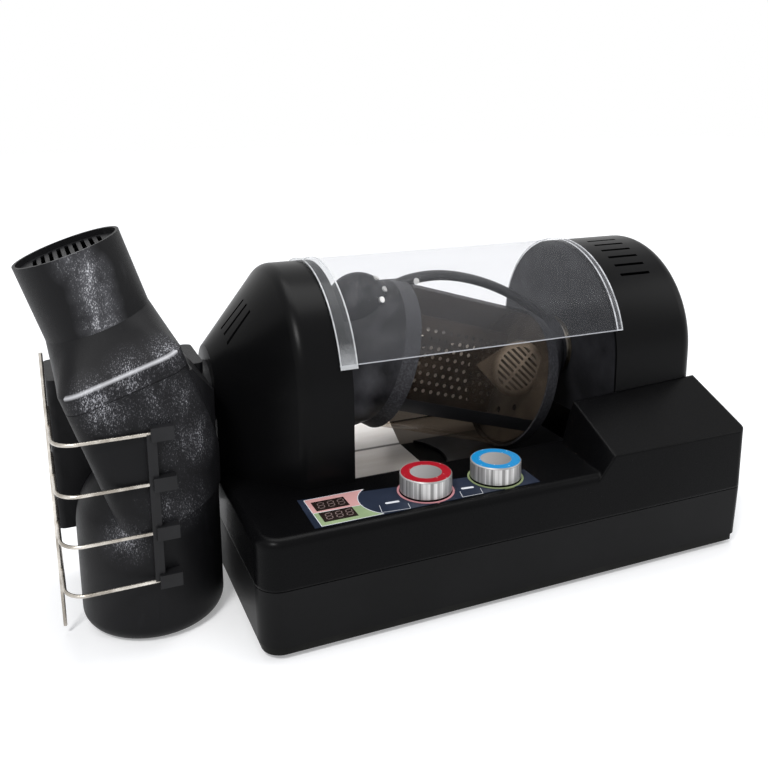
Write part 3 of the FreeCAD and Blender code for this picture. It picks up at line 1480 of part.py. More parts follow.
def flank_bounds(name, inset):
    """A tall block with rounded right corners that the leaning duct stays inside."""
    body = new_body(name)
    right = z.cup_x + z.cup_radius - inset
    left = z.inlet_left - z.joint_half
    corners = rectangle(left, right, z.cup_y - z.joint_depth_half + inset,
                        z.cup_y + z.joint_depth_half - inset)
    pad(body, outline(body, name + "_outline", "XY_Plane", z.cup_bottom, corners),
        z.joint_z * 2 - z.cup_bottom)
    soften(body, lambda edge: upright(edge) and edge.BoundBox.Center.x > z.inlet_left.value,
           z.flank_round - inset)
    return stand(body, (ZERO, ZERO, ZERO))


def cup_solid(name, inset):
    """The collector's cup as a solid, shrunk by an inset: round below, leaning duct above."""
    radius = z.cup_radius - inset
    bottom = z.cup_bottom + inset
    well = new_body(name + "_well")
    circle = flat_sketch(well, name + "_circle", "XY_Plane", bottom)
    circle.addGeometry(Part.Circle(FreeCAD.Vector(z.cup_x.value, z.cup_y.value, 0),
                                   FreeCAD.Vector(0, 0, 1), radius.value))
    for kind, size in (("DistanceX", z.cup_x), ("DistanceY", z.cup_y)):
        rule = Sketcher.Constraint(kind, -1, 1, 0, 3, size.value)
        bind(circle, "Constraints[%d]" % circle.addConstraint(rule), size)
    rule = Sketcher.Constraint("Radius", 0, radius.value)
    bind(circle, "Constraints[%d]" % circle.addConstraint(rule), radius)
    pad(well, circle, z.cup_top - bottom)
    soften(well, at_height(bottom), z.cup_round)
    stand(well, (ZERO, ZERO, ZERO))
    ball = doc.addObject("Part::Sphere", name + "_dome")
    bind(ball, "Radius", radius)
    stand(ball, (z.cup_x, z.cup_y, z.cup_top))
    column = rod(name + "_column", (z.cup_x, z.cup_y, z.cup_top - z.overrun), radius,
                 z.cup_shoulder_z - z.cup_top)
    right = z.cup_x + radius
    side = [(z.seam_x, z.cup_top - z.overrun), (right + z.overrun, z.cup_top - z.overrun),
            (right + z.overrun, z.cup_corner_z - inset), (z.cup_shoulder_x, z.cup_shoulder_z - inset),
            (z.seam_x, z.cup_shoulder_z - inset - z.joint_half * sine(z.lean))]
    slab = prism(name + "_side", "XZ_Plane", side, -z.cup_y - z.joint_depth_half,
                 z.joint_depth_half * 2)
    flank = shared(name + "_flank", column, slab)
    chute = lean_group(name + "_chute", leaning_block(name + "_chute_block", inset, -z.duct_drop, ZERO))
    chute_trimmed = shared(name + "_chute_trimmed", chute, flank_bounds(name + "_bounds", inset))
    return fuse(name, well, ball, flank, chute_trimmed)


def inlet_solid(name, inset):
    """The box behind the cup that takes the spout, as a solid."""
    body = new_body(name)
    corners = rectangle(z.inlet_left + inset, z.inlet_right - inset, z.inlet_front + inset,
                        z.inlet_back - inset)
    pad(body, outline(body, name + "_outline", "XY_Plane", z.inlet_bottom + inset, corners),
        z.inlet_top - z.inlet_bottom - inset * 2)
    soften(body, upright, z.inlet_round - inset)
    return stand(body, (ZERO, ZERO, ZERO))


def make_collector():
    """The collector: two halves of the cup, the inlet box, its gasket and the leaning top."""
    outside = cup_solid("cup_outside", ZERO)
    hollow = cup_solid("cup_inside", z.cup_wall)
    mouth = lean_group("cup_mouth", leaning_block("cup_mouth_block", z.cup_wall, -z.overrun * 3,
                                                  z.overrun))
    box_solid = inlet_solid("inlet_outside", ZERO)
    window = box("cup_window", (z.cup_x - z.gasket_outer, z.inlet_front + z.inlet_wall,
                                z.inlet_bottom + z.cup_wall * 2),
                 (z.cup_x + z.gasket_outer, z.inlet_back - z.inlet_wall,
                  z.inlet_top - z.cup_wall * 2))
    clear = rod("spout_clear", (z.spout_end - z.free_gap * 2, z.axis_y, z.axis_z),
                z.spout_radius + z.free_gap, z.overrun - z.spout_end + z.free_gap * 2, "x")
    shell = cut("cup_shell", outside, hollow, mouth, window, clear)
    for name, low, high in (("collector_left", z.inlet_left - z.joint_half, z.seam_x),
                            ("collector_right", z.seam_x, ZERO)):
        half = box(name + "_bounds", (low, ZERO, z.cup_bottom),
                   (high, z.cup_y * 2, z.joint_z * 2))
        node(name, shared(name, shell, half))
    inner = inlet_solid("inlet_inside", z.inlet_wall)
    hole = rod("inlet_hole", (z.inlet_right - z.gasket_length, z.axis_y, z.axis_z), z.gasket_outer,
               z.gasket_length + z.overrun, "x")
    cup_again = cup_solid("cup_clear", ZERO)
    above = lean_group("inlet_clear", leaning_block("inlet_clear_block", -z.free_gap, ZERO,
                                                    z.joint_half * 2))
    node("inlet_box", cut("inlet_box", box_solid, inner, hole, cup_again, window, above))
    gasket = pipe("gasket_ring", (z.inlet_right - z.gasket_length, z.axis_y, z.axis_z),
                  z.gasket_inner, z.gasket_outer, z.gasket_length, "x")
    node("inlet_gasket", cut("inlet_gasket", gasket, cup_solid("cup_for_gasket", ZERO)))


def make_collector_top():
    """The shoulder cap, the round exhaust neck and the screen in it."""
    skirt = leaning_block("shoulder_skirt", ZERO, z.cap_joint_gap, z.shoulder_rise)
    inner_skirt = leaning_block("shoulder_skirt_inside", z.cup_wall, -z.overrun, z.shoulder_rise)
    taper = shoulder_taper("shoulder_taper", ZERO, z.neck_radius)
    inner_taper = shoulder_taper("shoulder_taper_inside", z.cup_wall, z.neck_radius - z.neck_wall)
    bore = rod("shoulder_bore", (ZERO, ZERO, z.neck_start - z.overrun), z.neck_radius - z.neck_wall,
               z.overrun * 2, "z", local)
    shoulder = cut("shoulder_bare", fuse("shoulder_whole", skirt, taper),
                   fuse("shoulder_hollow", inner_skirt, inner_taper, bore))
    node("shoulder_cap", lean_group("shoulder_cap", shoulder))
    neck = pipe("neck_bare", (ZERO, ZERO, z.neck_start), z.neck_radius - z.neck_wall, z.neck_radius,
                z.neck_end - z.neck_start, "z", local)
    node("exhaust_neck", lean_group("exhaust_neck", neck))
    level = z.neck_end - z.neck_screen_depth
    disc = rod("neck_screen_disc", (ZERO, ZERO, level), z.neck_radius - z.neck_wall,
               z.neck_screen_thickness, "z", local)
    slots = []
    for k in range(SIZES["neck_screen_slots"]):
        side = z.neck_screen_pitch * (k - (SIZES["neck_screen_slots"] - 1) / 2)
        slots.append(box("neck_slot", (side - z.neck_screen_slot / 2, -z.neck_radius,
                                       level - z.overrun),
                         (side + z.neck_screen_slot / 2, z.neck_radius, level + z.overrun * 3), local))
    bounds = rod("neck_slot_bounds", (ZERO, ZERO, level - z.overrun * 2),
                 z.neck_radius - z.neck_wall * 3, z.overrun * 6, "z", local)
    tool = shared("neck_slot_tool", group("neck_slot_row", *slots), bounds)
    node("neck_screen", lean_group("neck_screen", cut("neck_screen_bare", disc, tool)))


def rounded_line(name, wide, deep, turn, level):
    """A closed line round a rectangle with rounded corners, lying at one level."""
    sketch = doc.addObject("Sketcher::SketchObject", name)
    ends = [(-wide + turn, -deep), (wide - turn, -deep), (wide, -deep + turn), (wide, deep - turn),
            (wide - turn, deep), (-wide + turn, deep), (-wide, deep - turn), (-wide, -deep + turn)]
    spots = [FreeCAD.Vector(a.value, b.value, 0) for a, b in ends]
    middles = [(wide - turn, -deep + turn), (wide - turn, deep - turn), (-wide + turn, deep - turn),
               (-wide + turn, -deep + turn)]
    for i in range(4):
        sketch.addGeometry(Part.LineSegment(spots[2 * i], spots[2 * i + 1]))
        centre = FreeCAD.Vector(middles[i][0].value, middles[i][1].value, 0)
        circle = Part.Circle(centre, FreeCAD.Vector(0, 0, 1), turn.value)
        first = math.pi / 2 * (i - 1)
        sketch.addGeometry(Part.ArcOfCircle(circle, first, first + math.pi / 2))
    for i in range(4):
        after = (2 * i + 2) % 8
        sketch.addConstraint(Sketcher.Constraint("Coincident", 2 * i, 2, 2 * i + 1, 1))
        sketch.addConstraint(Sketcher.Constraint("Coincident", 2 * i + 1, 2, after, 1))
    for i in range(4):
        pin_point(sketch, 2 * i, 1, ends[2 * i])
        pin_point(sketch, 2 * i, 2, ends[2 * i + 1])
        rule = Sketcher.Constraint("DistanceX", -1, 1, 2 * i + 1, 3, middles[i][0].value)
        bind(sketch, "Constraints[%d]" % sketch.addConstraint(rule), middles[i][0])
    bind(sketch, "Placement.Base.z", level)
    return sketch


def shoulder_taper(name, inset, radius):
    """The part of the shoulder that narrows from the duct to the neck, in one skin."""
    wide, deep = z.joint_half - inset, z.joint_depth_half - inset
    foot = rounded_line(name + "_foot", wide, deep, z.joint_round - inset, z.shoulder_rise)
    top = ring_line(name + "_top", (ZERO, ZERO, z.neck_start), radius, ZERO, local)
    return loft(name, foot, top)


def make_guard():
    """The wire guard, its clips and the strip that joins them."""
    pieces = []
    r = z.wire_radius
    for i in range(SIZES["wire_count"]):
        level = z.wire_first_z + z.wire_step_z * i
        corner = (z.wire_outer_x + z.wire_bend, z.wire_front_y + z.wire_bend, level)
        bend = doc.addObject("Part::Torus", "wire_bend")
        bind(bend, "Radius1", z.wire_bend)
        bind(bend, "Radius2", r)
        bend.Angle3 = 90
        turned = group("wire_bend_turned", bend)
        pieces.append(stand(turned, corner, axis=FreeCAD.Vector(0, 0, 1), angle=Size(180.0, "180")))
        pieces.append(rod("wire_front", (z.wire_outer_x + z.wire_bend, z.wire_front_y, level), r,
                          z.wire_front_x - z.wire_outer_x - z.wire_bend, "x"))
        pieces.append(rod("wire_side", (z.wire_outer_x, z.wire_front_y + z.wire_bend, level), r,
                          z.wire_back_y - z.wire_front_y - z.wire_bend, "y"))
    pieces.append(rod("wire_stay", (z.wire_outer_x - r, z.stay_y, z.stay_bottom), r,
                      z.stay_top - z.stay_bottom, "z"))
    guard = fuse("guard_wires", *pieces)
    clear = box("guard_clear", (z.inlet_left, z.inlet_front, z.inlet_bottom),
                (z.inlet_right, z.inlet_back, z.inlet_top))
    clips = []
    for i in range(SIZES["wire_count"]):
        level = z.wire_first_z + z.wire_step_z * i
        clips.append(box("clip_block", (z.wire_front_x - z.clip_width / 2,
                                        z.wire_front_y - z.clip_depth / 2, level - z.clip_height / 2),
                         (z.wire_front_x + z.clip_width / 2, z.cup_y - z.cup_radius / 2,
                          level + z.clip_height / 2)))
    strip = box("clip_strip", (z.wire_front_x - z.strip_width - z.clip_width / 4,
                               z.wire_front_y - z.strip_thickness / 2, z.wire_first_z),
                (z.wire_front_x - z.clip_width / 4, z.cup_y - z.cup_radius / 2,
                 z.wire_first_z + z.wire_step_z * (SIZES["wire_count"] - 1)))
    shape = fuse("clips_whole", strip, *clips)
    holder = cut("guard_clips", shape, cup_solid("cup_for_clips", ZERO), guard)
    node("guard_clips", holder)
    node("wire_guard", cut("wire_guard", guard, clear))


def check_and_write():
    """Checks every object and writes one file for each named piece."""
    doc.recompute()
    for obj in doc.Objects:
        if "Invalid" in obj.State or "Error" in obj.State:
            raise RuntimeError("could not build " + obj.Label + " " + str(obj.State))
    os.makedirs("parts", exist_ok=True)
    for label, obj in NODES.items():
        shape = obj.Shape
        if shape.isNull() or not shape.isValid() or shape.Volume <= 0:
            raise RuntimeError("bad shape " + label)
        shape.exportStep("parts/%s.step" % label)


make_base()
make_upper_casing()
make_housings()
make_bay_pieces()
make_glass()
make_left_cap()
make_right_cap()
make_handle()
make_chamber_screws()
make_baffle()
make_grille()
make_screens()
make_drive()
make_heater()
make_blower()
make_outlet()
make_cover()
make_knobs()
make_panel()
make_collector()
make_collector_top()
make_guard()
check_and_write()
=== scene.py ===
"""Looks for a table-top coffee roaster: materials, printed panel, lights and camera."""

import logging
import math
from dataclasses import dataclass, field
from enum import Enum

import bmesh
import bpy
from mathutils import Matrix, Vector


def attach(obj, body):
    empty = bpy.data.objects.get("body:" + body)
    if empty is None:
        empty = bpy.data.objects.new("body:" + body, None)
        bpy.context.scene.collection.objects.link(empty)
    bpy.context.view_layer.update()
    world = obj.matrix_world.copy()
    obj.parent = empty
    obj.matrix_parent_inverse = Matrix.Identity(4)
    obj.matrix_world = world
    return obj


log = logging.getLogger("roaster")
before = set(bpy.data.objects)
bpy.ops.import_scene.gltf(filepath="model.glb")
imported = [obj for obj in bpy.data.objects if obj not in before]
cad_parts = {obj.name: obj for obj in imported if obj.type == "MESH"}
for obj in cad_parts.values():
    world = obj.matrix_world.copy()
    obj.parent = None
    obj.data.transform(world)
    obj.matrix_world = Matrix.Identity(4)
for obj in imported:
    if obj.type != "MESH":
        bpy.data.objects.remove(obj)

# The row frame's place of the corner that the lengths below are measured from, in mm.
CORNER = Vector((-131.25, -115.7, 4.0))
MM = 0.001
# How far the collector's top leans, and the place where it starts to.
LEAN = math.radians(18.0)
JOINT_X, JOINT_Z = -62.9, 168.4
# The middle of the clear cover's round.
HOOD_Y, HOOD_Z = 145.1, 138.7
# A place on the glass tube's middle line, and how far the tube is tilted.
TUBE_X, TUBE_Y, TUBE_Z = 200.1, 145.1, 126.8
TILT = math.radians(17.1)


def spot(x: float, y: float, z: float) -> Vector:
    """A place measured in mm from the machine's own corner, in the row frame in metres."""
    return (Vector((x, y, z)) + CORNER) * MM


def rgb(*parts: float) -> tuple:
    """A colour with full alpha."""
    return (*parts, 1.0)


class Body(Enum):
    """The moving bodies that extra pieces ride on."""

    MACHINE = "machine"


class Math(Enum):
    """Arithmetic that a shader value knows."""

    ADD = "ADD"
    SUBTRACT = "SUBTRACT"
    MULTIPLY = "MULTIPLY"
    POWER = "POWER"
    GREATER = "GREATER_THAN"
    LESS = "LESS_THAN"
    MAXIMUM = "MAXIMUM"
    ABSOLUTE = "ABSOLUTE"
    ANGLE = "ARCTAN2"


class Value:
    """One socket of a shader, with arithmetic that adds the nodes it needs."""

    def __init__(self, recipe: "Recipe", socket: bpy.types.NodeSocket) -> None:
        """Keeps the socket and its recipe.

        Args:
            recipe: the recipe that further nodes go into.
            socket: the output that this value stands for.
        """
        self.recipe = recipe
        self.socket = socket

    def apply(self, kind: Math, *others: "Value | float") -> "Value":
        """Adds one arithmetic node.

        Args:
            kind: what the node works out.
            others: the further inputs, values or plain numbers.

        Returns:
            The result as a new value.
        """
        inputs = {"i%d" % slot: other for slot, other in enumerate((self, *others))}
        return self.recipe.make("ShaderNodeMath", settings={"operation": kind.value}, **inputs)

    def after(self, kind: Math, first: float) -> "Value":
        """Adds one arithmetic node with a plain number as its first input.

        Args:
            kind: what the node works out.
            first: the number that comes before this value.

        Returns:
            The result as a new value.
        """
        return self.recipe.make("ShaderNodeMath", settings={"operation": kind.value}, i0=first,
                                i1=self)

    def __add__(self, other: "Value | float") -> "Value":
        """This value plus another."""
        return self.apply(Math.ADD, other)

    def __radd__(self, first: float) -> "Value":
        """A number plus this value."""
        return self.after(Math.ADD, first)

    def __sub__(self, other: "Value | float") -> "Value":
        """This value less another."""
        return self.apply(Math.SUBTRACT, other)

    def __rsub__(self, first: float) -> "Value":
        """A number less this value."""
        return self.after(Math.SUBTRACT, first)

    def __mul__(self, other: "Value | float") -> "Value":
        """This value times another."""
        return self.apply(Math.MULTIPLY, other)

    def __rmul__(self, first: float) -> "Value":
        """A number times this value."""
        return self.after(Math.MULTIPLY, first)

    def __pow__(self, other: "Value | float") -> "Value":
        """This value raised to a power."""
        return self.apply(Math.POWER, other)

    def __rpow__(self, first: float) -> "Value":
        """A number raised to this value."""
        return self.after(Math.POWER, first)

    def __gt__(self, other: "Value | float") -> "Value":
        """1 where this value is the greater one, else 0."""
        return self.apply(Math.GREATER, other)

    def __lt__(self, other: "Value | float") -> "Value":
        """1 where this value is the lesser one, else 0."""
        return self.apply(Math.LESS, other)

    def __or__(self, other: "Value | float") -> "Value":
        """The greater of this value and another, as when masks are joined."""
        return self.apply(Math.MAXIMUM, other)

    def __ror__(self, first: float) -> "Value":
        """The greater of a number and this value."""
        return self.after(Math.MAXIMUM, first)

    def __abs__(self) -> "Value":
        """This value without its sign."""
        return self.apply(Math.ABSOLUTE)


class Recipe:
    """The nodes of one material or of the world, built one at a time."""

    BUMP_REACH = 0.0005
    BEVEL_SAMPLES = 8

    def __init__(self, owner: bpy.types.ID) -> None:
        """Empties the owner's nodes.

        Args:
            owner: the material or world that the nodes go into.
        """
        self.owner = owner
        owner.use_nodes = True
        self.tree = owner.node_tree
        self.tree.nodes.clear()
        self.known: dict[str, Value] = {}

    def make(self, kind: str, out: "str | int | None" = 0, settings: dict | None = None,
             **inputs: object) -> "Value | None":
        """Makes any node, sets its options and feeds its inputs.

        Args:
            kind: the node's type name.
            out: which output to hand back, or None for a node without outputs.
            settings: options such as a blend type, set before the inputs.
            inputs: input names, with _ for blanks or i and a number for a place, and values.

        Returns:
            The chosen output.
        """
        node = self.tree.nodes.new(kind)
        for option, choice in (settings or {}).items():
            setattr(node, option, choice)
        for word, given in inputs.items():
            numbered = word[0] == "i" and word[1:].isdigit()
            key = int(word[1:]) if numbered else word.replace("_", " ")
            if isinstance(given, Value):
                self.tree.links.new(given.socket, node.inputs[key])
            else:
                node.inputs[key].default_value = given
        return None if out is None else Value(self, node.outputs[out])

    @property
    def place(self) -> Value:
        """The place on the object.

        Returns:
            The place, in metres.
        """
        if "place" not in self.known:
            self.known["place"] = self.make("ShaderNodeTexCoord", out="Object")
        return self.known["place"]

    def axis(self, letter: str) -> Value:
        """One coordinate of the place on the object.

        Args:
            letter: X, Y or Z.

        Returns:
            The coordinate, in metres.
        """
        if letter not in self.known:
            self.known[letter] = self.make("ShaderNodeSeparateXYZ", out=letter, Vector=self.place)
        return self.known[letter]

    def noise(self, scale: float, detail: float = 3.0, rough: float = 0.5,
              stretch: tuple = (1.0, 1.0, 1.0)) -> Value:
        """Noise over the object, about 0 to 1.

        Args:
            scale: how fine the noise is.
            detail: how many finer layers it has.
            rough: how strong the finer layers are.
            stretch: how much faster it changes along each axis.

        Returns:
            The noise.
        """
        where = self.make("ShaderNodeMapping", Vector=self.place, Scale=stretch)
        return self.make("ShaderNodeTexNoise", Vector=where, Scale=scale, Detail=detail,
                         Roughness=rough)

    def ramp(self, factor: Value, low: float, high: float) -> Value:
        """Stretches the part of a value between two levels to 0 to 1."""
        return self.make("ShaderNodeMapRange", Value=factor, From_Min=low, From_Max=high)

    def near(self, middle: Vector, far: float, close: float) -> Value:
        """1 close to a place, fading to 0 far from it.

        Args:
            middle: the place, in metres.
            far: the distance where it reaches 0.
            close: the distance where it is still 1.

        Returns:
            The mask.
        """
        away = self.make("ShaderNodeVectorMath", out="Value", settings={"operation": "DISTANCE"},
                         i0=self.place, i1=tuple(middle))
        return self.ramp(away, far, close)

    def area(self, x: float, y: float, z: float, far: float, close: float) -> Value:
        """1 near a place and 0 far from it, all in mm."""
        return self.near(spot(x, y, z), far * MM, close * MM)

    def within(self, low: tuple, high: tuple) -> Value:
        """1 inside a box, else 0.

        Args:
            low: the box's lowest corner, in mm.
            high: its highest corner.

        Returns:
            The mask.
        """
        first, last = spot(*low), spot(*high)
        inside = 1.0
        for letter, start, end in zip("XYZ", first, last):
            inside = (self.axis(letter) > start) * (self.axis(letter) < end) * inside
        return inside

    def tube_height(self) -> Value:
        """The height above the glass tube's middle line, square to it.

        Returns:
            The height, in metres.
        """
        middle = spot(TUBE_X, 0, TUBE_Z)
        return ((self.axis("X") - middle.x) * math.sin(TILT)
                + (self.axis("Z") - middle.z) * math.cos(TILT))

    def blend(self, factor: "Value | float", first: object, second: object) -> Value:
        """Mixes two colours."""
        return self.make("ShaderNodeMix", out=2, settings={"data_type": "RGBA"}, i0=factor,
                         i6=first, i7=second)

    def bump(self, height: Value, strength: float, edge: float = 0.0) -> Value:
        """A bumped normal from a height.

        Args:
            height: the height that bumps the surface.
            strength: how strongly it does.
            edge: how far sharp edges shine as if rounded, in mm.

        Returns:
            The normal.
        """
        inputs = {"Height": height, "Strength": strength, "Distance": self.BUMP_REACH}
        if edge:
            inputs["Normal"] = self.make("ShaderNodeBevel",
                                         settings={"samples": self.BEVEL_SAMPLES},
                                         Radius=edge * MM)
        return self.make("ShaderNodeBump", **inputs)

    def passing(self, colour: tuple) -> Value:
        """A see-through shader of one colour."""
        return self.make("ShaderNodeBsdfTransparent", Color=rgb(*colour))

    def mix(self, factor: Value, first: Value, second: Value) -> Value:
        """Mixes two shaders."""
        return self.make("ShaderNodeMixShader", i0=factor, i1=first, i2=second)

    def surface(self, **inputs: object) -> Value:
        """The main surface shader."""
        return self.make("ShaderNodeBsdfPrincipled", **inputs)

    def finish(self, shader: Value) -> bpy.types.ID:
        """Ends the recipe with its output.

        Args:
            shader: what the surface is made of.

        Returns:
            The material or world.
        """
        world = isinstance(self.owner, bpy.types.World)
        self.make("ShaderNodeOutputWorld" if world else "ShaderNodeOutputMaterial", out=None,
                  Surface=shader)
        return self.owner


def paint_recipe(name: str) -> Recipe:
    """An empty recipe for a new material."""
    return Recipe(bpy.data.materials.new(name))


@dataclass(frozen=True)
class Plain:
    """A plain finish: two colours mixed in patches, with roughness and fine bumps.

    An area is a place and its far and close distance, a box two corners and a tone, all in mm.
    """

    base: tuple
    patch: tuple
    rough: float = 0.4
    spread: float = 0.1
    metal: float = 0.0
    shine: float = 0.5
    patch_scale: float = 30.0
    patch_low: float = 0.4
    patch_high: float = 0.7
    grain: float = 900.0
    bump: float = 0.1
    stretch: tuple = (1.0, 1.0, 1.0)
    edge: float = 0.0
    areas: tuple = ()
    boxes: tuple = ()
    bright: tuple = (0.5, 0.5, 0.5)
    least_bright: float = 0.5
    patch_detail: float = 6.0
    patch_rough: float = 0.6
    grain_detail: float = 2.0
    grain_rough: float = 0.5

    def build(self, name: str) -> bpy.types.Material:
        """Builds the material.

        Args:
            name: the material's name.

        Returns:
            The finished material.
        """
        r = paint_recipe(name)
        patches = r.noise(self.patch_scale, self.patch_detail, self.patch_rough, self.stretch)
        cloud = r.ramp(patches, self.patch_low, self.patch_high)
        grain = r.noise(self.grain, self.grain_detail, self.grain_rough, self.stretch)
        colour = r.blend(cloud, rgb(*self.base), rgb(*self.patch))
        # Each area paints the bright tone round a place: on the caps a painted highlight, on the
        # grille a paler patch.
        for area in self.areas:
            uneven = cloud * (1.0 - self.least_bright) + self.least_bright
            colour = r.blend(r.area(*area) * uneven, colour, rgb(*self.bright))
        # Each box paints its tone inside it; on the casing the pale box is painted light behind the
        # baffle's holes.
        for low, high, tone in self.boxes:
            colour = r.blend(r.within(low, high), colour, rgb(*tone))
        rough = grain * self.spread + (self.rough - self.spread / 2)
        return r.finish(r.surface(Base_Color=colour, Roughness=rough, Metallic=self.metal,
                                  Specular_IOR_Level=self.shine,
                                  Normal=r.bump(grain, self.bump, self.edge)))


@dataclass(frozen=True)
class Streaked:
    """Grained black with fine pale streaks from the plastic's grain; in a few areas a painted sheen
    and denser streaks paint its highlights.

    A noise is given as Recipe.noise takes it, and a range as the levels that become 0 and 1.
    """

    base: tuple = (0.0055, 0.0055, 0.0062)
    sheen: tuple = (0.03, 0.03, 0.0335)
    pale: tuple = (0.5, 0.5, 0.53)
    crest_highlight: tuple = (0.7, 0.7, 0.72)
    areas: tuple = ()
    spread: float = 0.25
    ridge: bool = False
    fine_noise: tuple = (1350.0, 5.0, 0.8, (1.0, 1.0, 0.5))
    broad_noise: tuple = (42.0, 6.0, 0.7, (1.0, 1.0, 0.5))
    spread_range: tuple = (0.56, 0.72)
    area_range: tuple = (0.28, 0.58)
    streak_range: tuple = (0.6, 0.7)
    gather: float = 0.1
    sheen_share: float = 0.8
    ridge_height: float = 12.0
    ridge_edge: float = 1.7
    ridge_core: float = 0.3
    ridge_back: float = 56.0
    ridge_least: float = 0.25
    ridge_uneven: float = 0.9
    rough: float = 0.3
    rough_spread: float = 0.3
    shine: float = 0.12
    bump: float = 0.3

    def build(self, name: str) -> bpy.types.Material:
        """Builds the material.

        Args:
            name: the material's name.

        Returns:
            The finished material.
        """
        r = paint_recipe(name)
        fine, broad = r.noise(*self.fine_noise), r.noise(*self.broad_noise)
        where = r.ramp(broad, *self.spread_range) * self.spread
        # The areas are painted highlight: there the colour gets a painted sheen and the streaks
        # gather.
        for area in self.areas:
            where = where | r.area(*area) * r.ramp(broad, *self.area_range)
        streak = r.ramp(fine + where * self.gather, *self.streak_range) * where
        colour = r.blend(where * self.sheen_share, rgb(*self.base), rgb(*self.sheen))
        colour = r.blend(streak, colour, rgb(*self.pale))
        # A painted highlight line along the lower ridge of the leaning top.
        if self.ridge:
            uneven = broad * self.ridge_uneven + self.ridge_least
            colour = r.blend(self.ridge_highlight(r) * uneven, colour, rgb(*self.crest_highlight))
        rough = fine * self.rough_spread + self.rough
        return r.finish(r.surface(Base_Color=colour, Roughness=rough,
                                  Specular_IOR_Level=self.shine, Normal=r.bump(fine, self.bump)))

    def ridge_highlight(self, r: Recipe) -> Value:
        """The painted highlight along the front of the leaning top's lower ridge.

        Args:
            r: the recipe that the line is part of.

        Returns:
            The mask.
        """
        up = ((r.axis("Z") - spot(0, 0, JOINT_Z).z) * math.cos(LEAN)
              - (r.axis("X") - spot(JOINT_X, 0, 0).x) * math.sin(LEAN))
        away = abs(up - self.ridge_height * MM)
        line = r.ramp(away, self.ridge_edge * MM, self.ridge_core * MM)
        return line * (r.axis("Y") < spot(0, self.ridge_back, 0).y)


@dataclass(frozen=True)
class Turned:
    """Turned metal with painted reflections as upright light and dark bands round a knob, and
    painted light and shade across its top.
    """

    x: float
    y: float = 27.5
    top: float = 92.8
    bands: float = 7.0
    band_detail: float = 4.0
    band_rough: float = 0.65
    band_range: tuple = (0.36, 0.64)
    band_dark: tuple = (0.10, 0.098, 0.095)
    band_pale: tuple = (0.8, 0.79, 0.78)
    top_shade: tuple = (-0.012, 0.014)
    top_pale: tuple = (0.5, 0.49, 0.485)
    top_dark: tuple = (0.28, 0.275, 0.27)
    metal: float = 0.5
    grain: float = 1200.0
    rough: float = 0.3
    rough_spread: float = 0.1
    bump: float = 0.1

    def build(self, name: str) -> bpy.types.Material:
        """Builds the material.

        Args:
            name: the material's name.

        Returns:
            The finished material.
        """
        r = paint_recipe(name)
        middle = spot(self.x, self.y, self.top)
        east, north = r.axis("X") - middle.x, r.axis("Y") - middle.y
        around = north.apply(Math.ANGLE, east)
        where = r.make("ShaderNodeCombineXYZ", X=around, Y=0.0, Z=0.0)
        band = r.make("ShaderNodeTexNoise", Vector=where, Scale=self.bands,
                      Detail=self.band_detail, Roughness=self.band_rough)
        top = r.axis("Z") > middle.z
        # The bands are painted reflections; the top goes from pale to dark across its face as
        # painted light and shade.
        side = r.blend(r.ramp(band, *self.band_range), rgb(*self.band_dark), rgb(*self.band_pale))
        top_shade = r.ramp(east - north, *self.top_shade)
        disc = r.blend(top_shade, rgb(*self.top_pale), rgb(*self.top_dark))
        grain = r.noise(self.grain)
        rough = grain * self.rough_spread + self.rough
        return r.finish(r.surface(Base_Color=r.blend(top, side, disc), Metallic=self.metal,
                                  Roughness=rough, Normal=r.bump(grain, self.bump)))


@dataclass(frozen=True)
class Flecked:
    """A glossy colour with a few pale flecks."""

    base: tuple
    pale: tuple
    fleck_scale: float = 260.0
    fleck_size: float = 0.13
    rough: float = 0.3
    coat: float = 0.3
    grain: float = 800.0
    bump: float = 0.1

    def build(self, name: str) -> bpy.types.Material:
        """Builds the material.

        Args:
            name: the material's name.

        Returns:
            The finished material.
        """
        r = paint_recipe(name)
        cells = r.make("ShaderNodeTexVoronoi", out="Distance", Vector=r.place,
                       Scale=self.fleck_scale)
        colour = r.blend(cells < self.fleck_size, rgb(*self.base), rgb(*self.pale))
        return r.finish(r.surface(Base_Color=colour, Roughness=self.rough, Coat_Weight=self.coat,
                                  Normal=r.bump(r.noise(self.grain), self.bump)))


@dataclass(frozen=True)
class Clear:
    """Clear plastic: see-through, a little milky, with a shine at its edges."""

    tint: tuple
    haze: float
    milk: tuple
    shine: float
    smear: tuple = (22.0, 4.0, 0.6, (1.0, 2.0, 2.0))
    milk_rough: float = 0.2
    milk_coat: float = 0.3
    edge_blend: float = 0.3
    edge_power: float = 4.0

    def build(self, name: str) -> bpy.types.Material:
        """Builds the material.

        Args:
            name: the material's name.

        Returns:
            The finished material.
        """
        r = paint_recipe(name)
        through = self.sheet(r)
        milk = r.surface(Base_Color=rgb(*self.milk), Roughness=self.milk_rough,
                         Coat_Weight=self.milk_coat)
        smear = r.noise(*self.smear)
        edge = r.make("ShaderNodeLayerWeight", out="Facing", Blend=self.edge_blend)
        amount = (smear * self.haze + self.haze / 2 + edge ** self.edge_power * self.shine
                  | self.lines(r))
        return r.finish(r.mix(amount, through, milk))

    def sheet(self, r: Recipe) -> Value:
        """The see-through shader of the sheet; a plain sheet has one tint."""
        return r.passing(self.tint)

    def lines(self, r: Recipe) -> "Value | float":
        """Where the sheet is bright; a plain sheet has no such place."""
        return 0.0


